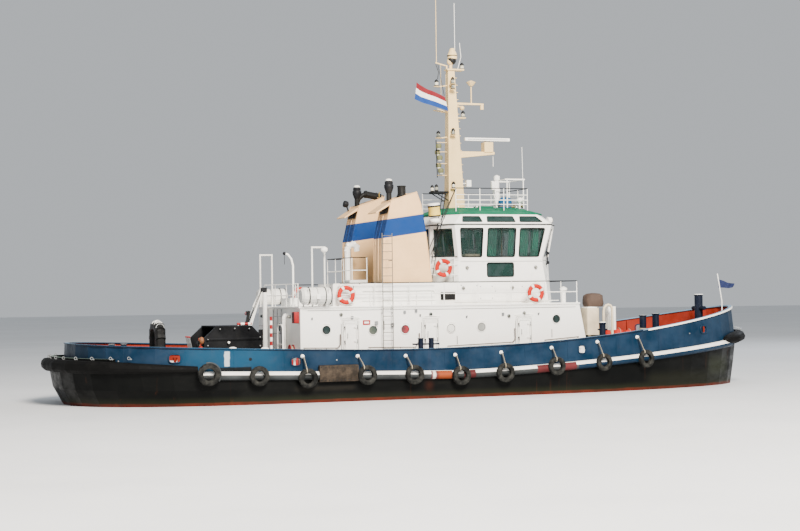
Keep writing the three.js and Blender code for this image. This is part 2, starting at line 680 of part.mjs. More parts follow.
// The slanting brow with its sky panes, columns: foot aft, foot fore, head aft, head fore
const SKY_PANES = [
  [1250, 2150, 1340, 2090],
  [2360, 3640, 2430, 3590],
  [3840, 4880, 3900, 4640],
];
const skyPanes = SKY_PANES.map(([a, b, c, d]) =>
  sideSlab([[a, EAVE + 90], [b, EAVE + 90], [d, ROOF_EDGE - 100], [c, ROOF_EDGE - 100]], -3200, 3200),
);
const browShell = shell(cabinEave, EAVE + SEAT, cabinBrow, ROOF_EDGE, WALL);
add("wheelhouse_brow", cut(browShell, skyPanes), WHITE, 0.45);
const roofSolid = join([
  taper(roofEdge, ROOF_EDGE + SEAT, roofEdge, ROOF_EDGE + 60),
  taper(roofEdge, ROOF_EDGE + 59, roofCrown, ROOF_TOP),
]);
add("wheelhouse_roof", roofSolid, GREEN, 0.5);
const cabinLeaf = doorLeaf(CABIN_DOOR.width, CABIN_DOOR.height, 40);
const cabinLeafAt = [250 - HINGE, CABIN_DOOR.y, CABIN_DOOR.foot + CABIN_DOOR.height / 2];
add("wheelhouse_door", cabinLeaf.mirror([0, 1, 0]), WHITE, 0.45, 0, cabinLeafAt, [0, 0, Math.PI / 2]);

// Inside the wheelhouse: steering console and chair
const consoleOutline = [
  [4500, CASING_TOP + SEAT],
  [5300, CASING_TOP + SEAT],
  [5440, 5350],
  [5100, 5480],
  [4600, 5300],
];
const consoleBody = sideSlab(consoleOutline, -1150, 1150);
const chair = join([
  lathe([[0, 0], [260, 0], [260, 40], [60, 70], [50, 480], [0, 480]], 12),
  box(-260, 260, -260, 260, 470, 590),
  sideSlab([[-260, 520], [-150, 520], [-250, 1180], [-340, 1170]], -240, 240),
]);
const chairPlace = chair.translate([3900, 0, CASING_TOP + 20]);
const plinth = box(3500, 5000, -500, 500, CASING_TOP + SEAT, CASING_TOP + 30);
add("helm", join([consoleBody, chairPlace, plinth]), 0x3a3d40, 0.6);

// Mast with its arms, platforms, lights and aerials
const mastFoot = mirror([[1600, 280], [2330, 280]]);
const mastHead = mirror([[1710, 140], [1990, 140]]);
const RADAR = { x: 3520, z: 10640, bar: 2080, pin: 60 };
// Radius of a faceted hole that clears a round shaft all round
const bore = (r) => (r + SHAFT_GAP) / Math.cos(Math.PI / 16);
const radarBore = bar([RADAR.x, 0, RADAR.z - 120], [RADAR.x, 0, RADAR.z + 50], bore(RADAR.pin), 16);
const HALYARD = 1420;
const mastPieces = [
  bar([HALYARD, 0, MAST_TOP + 190], [HALYARD, 0, 11880], 8),
  bar([HALYARD - 8, 0, 11890], [1750, 0, 11890], 12),
  taper(mastFoot, ROOF_TOP + SEAT, mastHead, MAST_TOP),
  sideSlab([[2000, 9930], [RADAR.x + 280, 10120], [RADAR.x + 280, 10220], [2000, 10230]], -150, 150),
  box(RADAR.x - 200, RADAR.x + 200, -190, 190, 10210, RADAR.z),
  sideSlab([[1900, 12230], [3360, 12250], [3360, 12310], [1900, 12330]], -60, 60),
  bar([2810, 0, 12280], [2810, 0, 13080], 28),
  bar([2810, 0, 13060], [2810, 0, 13220], 90, 10, 210),
  bar([2810, 0, 13219], [2810, 0, 13290], 210, 10, 60),
  box(1650, 2420, -200, 200, MAST_TOP - 60, MAST_TOP),
  box(1900, 2480, -180, 180, 11640, 11680),
  bar([1700, 0, MAST_TOP + 130], [1180, 0, MAST_TOP + 260], 30),
  bar([1690, 0, MAST_TOP - 30], [1700, 0, MAST_TOP + 160], 35),
  bar([1230, 0, MAST_TOP + 240], [1230, 0, 16700], 16),
  bar([1880, 0, MAST_TOP - 40], [1880, 0, MAST_TOP + 330], 70, 8),
  ball(1880, 0, MAST_TOP + 330, 170),
  bar([1960, 0, MAST_TOP + 440], [1960, 0, MAST_TOP + 620], 205, 12),
  bar([1960, 0, MAST_TOP + 619], [1960, 0, MAST_TOP + 900], 205, 12, 90),
  bar([1800, 0, MAST_TOP + 300], [1960, 0, MAST_TOP + 500], 50, 8),
  bar([1780, -20, 11880], [1150, -250, 12000], 26),
  bar([1780, 20, 11880], [1150, 250, 12000], 26),
];
add("mast", join(mastPieces).subtract(radarBore), CREAM, 0.5);
const scanner = join([
  box(-RADAR.bar / 2, RADAR.bar / 2, -70, 70, 60, 190),
  bar([0, 0, SEAT], [0, 0, 80], 110, 12),
  bar([0, 0, -110], [0, 0, 20], RADAR.pin, 16),
]);
add("radar_scanner", scanner, WHITE, 0.4, 0, [RADAR.x, 0, RADAR.z]);

// Rails: a top bar, two lower bars and posts along a line
function railing(points, z0, heights, r, postEvery, closed = false) {
  const line = closed ? [...points, points[0]] : points;
  const bars = heights.map((h) => pipe(line.map(([x, y]) => [x, y, z0 + h]), r, 4));
  const posts = [];
  for (let i = 0; i + 1 < line.length; i++) {
    const [a, b] = [line[i], line[i + 1]];
    const count = Math.max(1, Math.round(Math.hypot(b[0] - a[0], b[1] - a[1]) / postEvery));
    const last = i + 2 === line.length && !closed ? count : count - 1;
    for (let k = 0; k <= last; k++) {
      const t = k / count;
      const [x, y] = [a[0] + (b[0] - a[0]) * t, a[1] + (b[1] - a[1]) * t];
      posts.push(bar([x, y, z0 + SEAT], [x, y, z0 + heights[0]], r, 4));
    }
  }
  return join([...bars, ...posts]);
}
const RAIL_Y = 3060;
// Columns: name, corners of the line, foot, heights of the bars, their radius, most between posts
const RAILS = [
  [
    "boat_deck_rail",
    [[-4250, -RAIL_Y], [6200, -RAIL_Y], [6200, RAIL_Y], [-4250, RAIL_Y]],
    BOAT_DECK,
    [910, 455],
    20,
    1500,
  ],
  ["aft_deck_rail", [[-5800, -2500], [-5800, 2500]], BOAT_DECK, [910, 455], 20, 1500],
  [
    "casing_rail",
    [[-2600, -1650], [-3240, -1650], [-3240, 1650], [-2600, 1650]],
    CASING_TOP,
    [1050, 525],
    18,
    1100,
  ],
];
for (const [name, ...shape] of RAILS) add(name, railing(...shape), WHITE, 0.4);
const roofLine = [[1250, -1950], [4500, -1950], [4500, 1950], [1250, 1950]];
const roofRail = railing(roofLine, ROOF_EDGE + 20, [1080, 590], 18, 1100);
add("roof_rail", roofRail.subtract(roofSolid.translate([0, 0, SEAT])), WHITE, 0.4);

// Ladders: stringers and rungs
function ladder(foot, head, across, width, rungs, r) {
  const side = new THREE.Vector3(...across).setLength(width / 2);
  const [a, b] = [new THREE.Vector3(...foot), new THREE.Vector3(...head)];
  const pieces = [-1, 1].map((k) => {
    const move = side.clone().multiplyScalar(k);
    return bar(a.clone().add(move).toArray(), b.clone().add(move).toArray(), r, 4);
  });
  for (let i = 0; i < rungs; i++) {
    const at = a.clone().lerp(b, (i + 0.7) / rungs);
    pieces.push(bar(at.clone().sub(side).toArray(), at.clone().add(side).toArray(), r * 0.7, 4));
  }
  return join(pieces);
}
const LADDER = { x: -2290, y: -3300, width: 420, half: 210 };
// Columns: height of a tie, the wall it goes to, which stringers have one
const LADDER_TIES = [
  [1600, -HOUSE.half, [-1, 1]],
  [3400, -HOUSE.half, [-1, 1]],
  [5500, -CASING.half, [1]],
  [6500, -CASING.half, [1]],
];
const ladderTies = LADDER_TIES.flatMap(([z, wall, ends]) =>
  ends.map((k) => {
    const x = LADDER.x + k * LADDER.half;
    return bar([x, LADDER.y, z], [x, wall - SEAT, z], 15);
  }),
);
const sideLadder = join([
  ladder([LADDER.x, LADDER.y, 1100], [LADDER.x, LADDER.y, 6600], [1, 0, 0], LADDER.width, 17, 18),
  ...ladderTies,
]);
add("side_ladder", onDeck(sideLadder), WHITE, 0.4);
const roofLadder = join([
  ladder([-60, -2250, CASING_TOP + 50], [620, -2250, 8350], [0, 1, 0], 380, 12, 18),
  ...[-2440, -2060].map((y) => bar([-60, y, CASING_TOP + SEAT], [-60, y, CASING_TOP + 80], 18)),
]);
add("roof_ladder", roofLadder, WHITE, 0.4);

// Life rafts in their cradles, with a tall hoop inboard of each
const RAFT = { x: -5280, y: 3230, z: 4120, r: 340, half: 640, hoopY: 2850, hoopHalf: 260 };
const raftEnd = RAFT.half - 90;
const raftProfile = [
  [0, -RAFT.half],
  [RAFT.r * 0.75, -RAFT.half],
  [RAFT.r, -raftEnd],
  [RAFT.r, raftEnd],
  [RAFT.r * 0.75, RAFT.half],
  [0, RAFT.half],
];
// A cradle arm: columns are the way in from the raft's middle, and the height
const CRADLE = { post: 330, out: -180, tip: -370 };
// Columns: middle of the hoop, its top
const HOOPS = { starboard: [-5050, 6050], port: [-5620, 5900] };
for (const [name, side] of SIDES) {
  const [hoopX, hoopTop] = HOOPS[name];
  const drum = lathe(raftProfile, 16).rotate([0, 90, 0]).translate([RAFT.x, side * RAFT.y, RAFT.z]);
  const cradle = [-420, 420].flatMap((dx) => {
    const at = (inboard, z) => [RAFT.x + dx, side * (RAFT.y - inboard), z];
    return [
      bar(at(CRADLE.post, BOAT_DECK + SEAT), at(CRADLE.post, RAFT.z + 60), 30),
      bar(at(CRADLE.post, 3790), at(CRADLE.out, 3830), 30),
      bar(at(CRADLE.out, 3830), at(CRADLE.tip, 4420), 26),
    ];
  });
  const hoopY = side * RAFT.hoopY;
  const [left, right] = [hoopX - RAFT.hoopHalf, hoopX + RAFT.hoopHalf];
  const hoopLine = [[left, BOAT_DECK + SEAT], [left, hoopTop], [right, hoopTop], [right, BOAT_DECK + SEAT]];
  const hoop = pipe(hoopLine.map(([x, z]) => [x, hoopY, z]), 38, 8);
  const ties = [left, right].map((x) => bar([x, hoopY, 4100], [x, side * (RAFT.y - 300), 4100], 30));
  add("life_raft_" + name, join([drum, ...cradle, hoop, ...ties]), WHITE, 0.4);
}
// Gooseneck vent between the funnels, and a locker aft of the casing
const locker = box(-4450, CASING.aft + 1, -2850, -2250, BOAT_DECK + SEAT, 4560);
const GOOSE_Y = 400;
const gooseLine = [[-2750, 4520], [-2750, 6050], [-2680, 6220], [-2500, 6270], [-2360, 6180], [-2330, 5980]];
const goose = pipe(gooseLine.map(([x, z]) => [x, GOOSE_Y, z]), 120, 10);
add("casing", join([casing, locker, goose]), WHITE, 0.45);

// Folding crane on its post aft of the deckhouse
const CRANE = { x: -6080, y: 1450, top: 4300, reach: 150, rise: 150, knuckle: 150, pin: 25, king: 50 };
const BOOM = 1750;
const JIB = 720;
const POST = { height: 3300, r: 95, foot: 165 };
const postProfile = [
  [0, 0],
  [POST.foot, 0],
  [POST.foot, 290],
  [POST.r, 310],
  [POST.r, POST.height],
  [0, POST.height],
];
const cranePost = lathe(postProfile, 16).translate([CRANE.x, CRANE.y, CRANE.top - POST.height]);
const kingAt = (z) => [CRANE.x, CRANE.y, CRANE.top + z];
const kingBore = bar(kingAt(-200), kingAt(50), bore(CRANE.king), 16);
add("crane_post", onDeck(cranePost).subtract(kingBore), WHITE, 0.5);
const craneHead = join([
  bar([0, 0, -190], [0, 0, 20], CRANE.king, 16),
  bar([0, 0, SEAT], [0, 0, 50], 95, 16),
  ...[-1, 1].map((k) => box(-CRANE.reach - 50, 80, k * 78 - 18, k * 78 + 18, 40, CRANE.rise + 60)),
  box(-60, 80, -96, 96, 30, CRANE.rise),
  bar([-CRANE.reach, -110, CRANE.rise], [-CRANE.reach, 110, CRANE.rise], CRANE.pin, 16),
]);
add("crane_head", craneHead, STEEL, 0.5, 0.3, [CRANE.x, CRANE.y, CRANE.top]);
// Boom and jib are drawn about their pivots and turned to hang as stowed, the jib folded along the boom
const BOOM_ANGLE = 108;
const JIB_ANGLE = -78;
const radians = THREE.MathUtils.degToRad;
const pinHole = bar([0, -120, 0], [0, 120, 0], bore(CRANE.pin), 16);
const boomBar = join([
  box(0, BOOM, -50, 50, -60, 60),
  bar([0, -50, 0], [0, 50, 0], 70, 16),
  sideSlab([[BOOM - 160, -40], [BOOM - 60, -205], [BOOM + 50, -205], [BOOM + 70, -40]], -45, 45),
]);
const jibPin = bar([BOOM, -100, -CRANE.knuckle], [BOOM, 100, -CRANE.knuckle], CRANE.pin, 16);
const boomAt = [CRANE.x - CRANE.reach, CRANE.y, CRANE.top + CRANE.rise];
const boom = boomBar.subtract(pinHole).add(jibPin);
add("crane_boom", boom, STEEL, 0.5, 0.3, boomAt, [0, radians(BOOM_ANGLE), 0]);
const [boomCos, boomSin] = [Math.cos(radians(BOOM_ANGLE)), Math.sin(radians(BOOM_ANGLE))];
const jibAt = [
  boomAt[0] + boomCos * BOOM - boomSin * CRANE.knuckle,
  CRANE.y,
  boomAt[2] - boomSin * BOOM - boomCos * CRANE.knuckle,
];
const jib = join([
  ...[-1, 1].map((k) => box(-55, 260, k * 75 - 18, k * 75 + 18, -58, 58)),
  box(150, JIB, -93, 93, -45, 45),
  bar([JIB - 50, 0, 0], [JIB - 50, 0, 140], 30, 8),
]);
add("crane_jib", jib.subtract(pinHole), STEEL, 0.5, 0.3, jibAt, [0, radians(JIB_ANGLE), 0]);

// Towing winch: frame with cover, and a drum on its shaft
const WINCH = { x: -8120, z: 2080, half: 1250, drum: 560, shaft: 70 };
const winchCheek = [[-9330, 1250], [-6920, 1250], [-6920, 2480], [-7380, 2930], [-8860, 2930], [-9330, 2500]];
const winchCover = [
  [-6990, 2380],
  [-6920, 2380],
  [-6920, 2500],
  [-7370, 2970],
  [-8870, 2970],
  [-8870, 2910],
  [-7400, 2910],
  [-6990, 2470],
];
const winchFrame = join([
  box(-9380, -6900, -1300, 1300, 1150, 1330),
  ...[-1, 1].map((k) => sideSlab(winchCheek, k * 1150 - 60, k * 1150 + 60)),
  sideSlab(winchCover, -1210, 1210),
]);
const winchBore = bar([WINCH.x, -1400, WINCH.z], [WINCH.x, 1400, WINCH.z], bore(WINCH.shaft), 16);
add("winch_frame", onDeck(winchFrame).subtract(winchBore), 0x2a2c30, 0.6);
// Half of a turned outline along its axis, columns: radius, distance from the middle; the rest mirrors it
const turned = (half) => [...half.map(([r, z]) => [r, -z]), ...half.map(([r, z]) => [r, z]).reverse()];
const COLLAR = 1090 - SEAT; // the drum's collar runs against the frame's cheek
const drumHalf = [
  [0, 1205],
  [WINCH.shaft, 1205],
  [WINCH.shaft, COLLAR],
  [160, COLLAR],
  [160, 1070],
  [WINCH.drum, 1070],
  [WINCH.drum, 1030],
  [350, 1020],
];
const drum = lathe(turned(drumHalf), 16);
add("winch_drum", drum, 0x55585c, 0.6, 0.3, [WINCH.x, 0, WINCH.z], [Math.PI / 2, 0, 0]);

// Towing staple: a wide inverted U
const STAPLE = { x: -10960, half: 540, top: 2960, r: 215 };
// Columns: distance in from the leg, distance down from the top
const stapleHalf = [[0, STAPLE.top - 1000], [0, 330], [130, 90], [330, 0]];
const stapleSide = (side) => stapleHalf.map(([inward, down]) => [
  STAPLE.x,
  side * (STAPLE.half - inward),
  STAPLE.top - down,
]);
const staplePoints = [...stapleSide(-1), ...stapleSide(1).reverse()];
add("towing_staple", onDeck(pipe(staplePoints, STAPLE.r, 10)), BLACK, 0.5);

// Windlass on the foredeck
const WINDLASS = { x: 8200, z: 2350, shaft: 50 };
const windlassFrame = join([
  box(7600, 8800, -900, 900, 1200, 1750),
  ...[-1, 1].map((k) => box(WINDLASS.x - 220, WINDLASS.x + 220, k * 520 - 60, k * 520 + 60, 1700, 2620)),
]);
const windlassAt = (y) => [WINDLASS.x, y, WINDLASS.z];
const windlassBore = bar(windlassAt(-700), windlassAt(700), bore(WINDLASS.shaft), 16);
add("windlass_frame", onDeck(windlassFrame).subtract(windlassBore), WHITE, 0.55);
const CHEEK = { out: 580 + SEAT, in: 460 - SEAT }; // faces of the frame's cheeks, with the running gap
const gypsyHalf = [
  [0, 950],
  [230, 950],
  [150, 880],
  [140, 700],
  [220, 640],
  [90, 620],
  [90, CHEEK.out],
  [WINDLASS.shaft, CHEEK.out],
  [WINDLASS.shaft, CHEEK.in],
  [90, CHEEK.in],
  [90, 440],
  [300, 430],
  [300, 380],
  [170, 360],
];
const gypsy = lathe(turned(gypsyHalf), 16);
add("windlass_drum", gypsy, STEEL, 0.5, 0.3, [WINDLASS.x, 0, WINDLASS.z], [Math.PI / 2, 0, 0]);

// Bollards: pairs of posts on a base plate
function bollard(x, y, r, top, cap) {
  return join([bar([x, y, 900], [x, y, top], r, 12), bar([x, y, top - 1], [x, y, top + 40], r + cap, 12)]);
}
const plateTop = (x) => deckZ(x) + 30;
// Columns: x, y and top of each post; radius, cap's lip; base aft, fore, middle y, half width, foot, top
const BOLLARDS = [
  [
    "fore",
    [[9250, 3120, 3080], [9900, 3050, 3140]],
    145,
    25,
    [9000, 10150, 3090, 220, 1200, plateTop(10150)],
  ],
  ["mid", [[-1150, 3930, 2350], [-700, 3930, 2350]], 110, 15, [-1350, -500, 3930, 160, 1000, 1160]],
  [
    "aft",
    [[-12250, 3000, 2200], [-11750, 3000, 2200]],
    125,
    20,
    [-12450, -11550, 3000, 190, 1200, plateTop(-12450)],
  ],
];
for (const [name, side] of SIDES)
  for (const [where, posts, r, cap, [x0, x1, mid, half, z0, z1]] of BOLLARDS) {
    const base = box(x0, x1, side * mid - half, side * mid + half, z0, z1);
    const pair = posts.map(([x, y, top]) => bollard(x, side * y, r, top, cap));
    add("bollards_" + where + "_" + name, onDeck(join([...pair, base])), BLUE, 0.5);
  }
const BITT = { x: 13750, r: 185, top: 3920, horn: 520, hornZ: 3350 };
const bitt = join([
  bollard(BITT.x, 0, BITT.r, BITT.top, 25),
  bar([BITT.x, -BITT.horn, BITT.hornZ], [BITT.x, BITT.horn, BITT.hornZ], 90, 10),
  box(BITT.x - 300, BITT.x + 300, -300, 300, 1500, deckZ(BITT.x + 300) + 40),
]);
add("bow_bitt", onDeck(bitt), BLUE, 0.5);
const staff = join([
  pipe([[14950, 0, 1700], [14950, 0, 3650], [14740, 0, 4894]], 26),
  box(14850, 15000, -80, 80, 1700, deckZ(14850) + 40),
]);
add("jackstaff", onDeck(staff), WHITE, 0.4);

// Flags, as thin slabs: the ensign aft of its halyard and the jack ahead of its staff
const BUNTING = 7;
const luff = HALYARD - BUNTING - SEAT;
const ensign = [[230, 12260], [luff, 11990], [luff, 12540], [380, 13150]];
const jack = [[14876.2, 4235], [15260, 4260], [15350, 4411], [14807.2, 4643]];
add("ensign", sideSlab(ensign, -BUNTING, BUNTING), 0xb5202c, 0.8);
add("jack", sideSlab(jack, -BUNTING, BUNTING), 0x24306a, 0.8);

export default tug;
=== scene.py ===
"""Looks of a harbour tug. Metres: X points forward, Y to port, Z up, and the water lies at z 0."""

import math

import bpy
from mathutils import Matrix, Vector
from mathutils.bvhtree import BVHTree


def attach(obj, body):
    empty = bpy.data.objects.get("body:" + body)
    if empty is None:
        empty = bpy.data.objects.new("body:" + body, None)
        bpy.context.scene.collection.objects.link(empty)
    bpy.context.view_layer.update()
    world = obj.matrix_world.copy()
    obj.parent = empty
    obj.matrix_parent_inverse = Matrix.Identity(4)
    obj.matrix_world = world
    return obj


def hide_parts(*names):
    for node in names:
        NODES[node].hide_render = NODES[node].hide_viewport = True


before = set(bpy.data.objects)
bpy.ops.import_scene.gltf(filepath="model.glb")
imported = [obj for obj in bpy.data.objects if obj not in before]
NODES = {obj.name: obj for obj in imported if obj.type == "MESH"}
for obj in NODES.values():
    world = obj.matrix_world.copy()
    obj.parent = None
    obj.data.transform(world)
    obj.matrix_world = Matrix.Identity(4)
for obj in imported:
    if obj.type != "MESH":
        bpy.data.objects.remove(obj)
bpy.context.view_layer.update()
HULL = "hull_body"
SIDES = ((-1, "starboard"), (1, "port"))
FORE, PORT, UP = (1, 0, 0), (0, 1, 0), (0, 0, 1)


# Colours
def rgb(code):
    """A colour as it looks on screen, turned into the linear values that shaders use."""
    parts = [int(code[i : i + 2], 16) / 255 for i in (0, 2, 4)]
    return tuple(c / 12.92 if c <= 0.04045 else ((c + 0.055) / 1.055) ** 2.4 for c in parts) + (1.0,)


RUST = rgb("6b3a1e")
DIRT = rgb("4a463c")


# Materials. Each has noise in its colour and gloss, and may carry rust, streaks, dirt or bands.
class Shader:
    """One material's nodes. A value is a number, a colour or another node's output."""

    def __init__(self, name):
        self.material = bpy.data.materials.new(name)
        self.material.use_nodes = True
        self.tree = self.material.node_tree
        self.inputs = self.tree.nodes["Principled BSDF"].inputs
        self.place = self.node("TexCoord", {}, "Object")

    def fill(self, inputs, values):
        for key, value in values.items():
            if isinstance(value, (tuple, int, float)):
                inputs[key].default_value = value
            else:
                self.tree.links.new(value, inputs[key])

    def node(self, kind, values, output, **options):
        """The output of a new node."""
        node = self.tree.nodes.new("ShaderNode" + kind)
        for key, value in options.items():
            setattr(node, key, value)
        self.fill(node.inputs, values)
        return node.outputs[output]

    def noise(self, scale, detail=4.0, stretch=(1, 1, 1), rough=0.6):
        place = self.node("Mapping", {"Scale": stretch, "Vector": self.place}, "Vector")
        values = {"Scale": scale, "Detail": detail, "Roughness": rough, "Vector": place}
        return self.node("TexNoise", values, "Fac")

    def ramp(self, value, low, high, start=0.0, end=1.0):
        values = {"Value": value, "From Min": low, "From Max": high, "To Min": start, "To Max": end}
        return self.node("MapRange", values, "Result", clamp=True, interpolation_type="SMOOTHSTEP")

    def mix(self, share, a, b):
        return self.node("Mix", {0: share, 6: a, 7: b}, 2, data_type="RGBA")

    def plus(self, a, b):
        return self.node("Math", {0: a, 1: b}, 0, operation="ADD")

    def times(self, a, b):
        return self.node("Math", {0: a, 1: b}, 0, operation="MULTIPLY")

    def axis(self, axis):
        return self.node("SeparateXYZ", {0: self.place}, axis)

    def within(self, value, low, high, edge):
        """1 between two values, fading to 0 over an edge on both sides."""
        over = self.ramp(value, low - edge, low + edge)
        return self.times(over, self.ramp(value, high - edge, high + edge, 1.0, 0.0))

    def patch(self, tone, low, high, code, edge):
        """Another colour between two corners, with a ragged edge."""
        ragged = self.plus(self.times(self.noise(3.0, 6.0), 0.12), -0.06)
        mask = 1.0
        for axis, a, b in zip("XYZ", low, high):
            mask = self.times(mask, self.within(self.plus(self.axis(axis), ragged), a, b, edge))
        return self.mix(mask, tone, rgb(code))

    def bump(self, height, strength, distance):
        values = {"Strength": strength, "Distance": distance, "Height": height}
        self.fill(self.inputs, {"Normal": self.node("Bump", values, "Normal")})

    def done(self, tone, rough, shine=0.5, metal=0.0):
        values = {"Base Color": tone, "Roughness": rough, "Specular IOR Level": shine, "Metallic": metal}
        self.fill(self.inputs, values)
        return self.material


def paint(
    name, colour, gloss=0.35, metal=0.0, rust=0.0, streaks=0.0, dirt=0.25, vary=0.08, bump=0.12, scale=1.0,
    bands=(), lean=0.0, patches=(), shine=0.5,
):
    """Paint with faded patches, grime, rust spots and run marks. bands are (low z, high z, colour), and rise
    forward by lean. patches are (low corner, high corner, colour, softness of the edge)."""
    s = Shader(name)
    base = rgb(colour)[:3]
    dark = tuple(c * (1 - 2.5 * vary) for c in base) + (1.0,)
    pale = tuple(min(1.0, c * (1 + vary) + 0.01) for c in base) + (1.0,)
    tone = s.mix(s.ramp(s.noise(0.9 * scale), 0.3, 0.7), dark, pale)
    for low, high, code in bands:
        z = s.plus(s.axis("Z"), s.times(s.axis("X"), -lean))
        tone = s.mix(s.within(z, low, high, 0.012), tone, rgb(code))
    for row in patches:
        tone = s.patch(tone, *row)
    grime = s.noise(3.1 * scale, 8.0, rough=0.7)
    tone = s.mix(s.ramp(grime, 0.5, 0.85, 0.0, dirt), tone, DIRT)
    if streaks:
        runs = s.noise(2.2 * scale, 6.0, (1.6, 1.6, 0.09), 0.65)
        tone = s.mix(s.ramp(runs, 0.56, 0.8, 0.0, streaks), tone, RUST)
    if rust:
        spots = s.noise(7.0 * scale, 10.0, rough=0.75)
        tone = s.mix(s.ramp(spots, 0.66 - 0.12 * rust, 0.74, 0.0, 0.9), tone, RUST)
    if bump:
        s.bump(s.noise(5.0 * scale, 6.0), bump, 0.02)
    return s.done(tone, s.ramp(grime, 0.2, 0.9, gloss * 0.8, min(1.0, gloss * 1.7 + 0.1)), shine, metal)


def glass(name, colour, alpha=0.9):
    """Window glass that lets the room behind show, with faint marks."""
    s = Shader(name)
    marks = s.noise(2.0, 5.0)
    s.fill(s.inputs, {"Alpha": s.ramp(marks, 0.3, 0.7, alpha, min(1.0, alpha + 0.12))})
    tone = s.mix(s.ramp(marks, 0.35, 0.7), rgb(colour), rgb("2c3a3a"))
    return s.done(tone, s.ramp(marks, 0.3, 0.8, 0.03, 0.14), 0.25)


def cloth(name, bands):
    """Bunting in level bands. bands are (share of the height, colour)."""
    s = Shader(name)
    height = s.node("SeparateXYZ", {0: s.node("UVMap", {}, 0)}, "Y")
    tone = rgb(bands[0][1])
    for share, code in bands[1:]:
        tone = s.mix(s.ramp(height, share - 0.01, share + 0.01), tone, rgb(code))
    tone = s.mix(s.ramp(s.noise(30.0, 3.0), 0.3, 0.8, 0.0, 0.2), tone, rgb("3a3a3c"))
    return s.done(tone, 0.85)


# Rust, darker patches low down, and at the bow a paler grey-green patch that is part dirt and part painted
# reflection, on the starboard side of the hull: low corner, high corner, colour, soft edge
HULL_MARKS = (
    ((-1.16, -6, 0.38), (-1.0, -4, 0.66), "33160c", 0.22),
    ((12.6, -6, 0.45), (14.0, 0, 1.25), "20231a", 0.3),
    ((9.0, -6, 0.25), (12.6, 0, 0.6), "191a12", 0.35),
    ((-6.6, -6, 0.5), (-4.2, -4, 0.6), "1c1a16", 0.12),
)


def hull_material():
    """Black topsides over red bottom paint, with scuffs, salt and a slimy line at the water."""
    s = Shader("hull_sides")
    level = s.plus(s.axis("Z"), s.times(s.noise(0.6, 3.0), -0.06))
    black = s.mix(s.ramp(s.noise(0.5, 6.0), 0.35, 0.7), rgb("020303"), rgb("0a0b0a"))
    red = s.mix(s.ramp(s.noise(1.5, 6.0), 0.3, 0.7), rgb("40100a"), rgb("5c1a10"))
    tone = s.mix(s.ramp(level, 0.08, 0.11), red, black)
    scum = s.times(s.ramp(level, -0.02, 0.05), s.ramp(level, 0.1, 0.38, 1.0, 0.0))
    tone = s.mix(s.times(scum, 0.35), tone, rgb("2a2d1c"))
    scuffs = s.noise(1.4, 8.0, (0.35, 1, 1.6), 0.7)
    tone = s.mix(s.ramp(scuffs, 0.6, 0.8, 0.0, 0.3), tone, rgb("2a2a24"))
    runs = s.noise(2.0, 6.0, (1.5, 1.5, 0.08))
    tone = s.mix(s.ramp(runs, 0.62, 0.82, 0.0, 0.5), tone, RUST)
    for row in HULL_MARKS:
        tone = s.patch(tone, *row)
    s.bump(s.noise(1.1, 5.0), 0.25, 0.05)
    return s.done(tone, s.ramp(scuffs, 0.3, 0.8, 0.3, 0.75), 0.1)


def rubber(name, pale, base):
    s = Shader(name)
    wear = s.noise(4.0, 9.0, rough=0.7)
    s.bump(s.noise(18.0, 6.0), 0.3, 0.01)
    tone = s.mix(s.ramp(wear, 0.35, 0.75), rgb(base), rgb(pale))
    return s.done(tone, s.ramp(wear, 0.3, 0.8, 0.6, 0.95), 0.12)
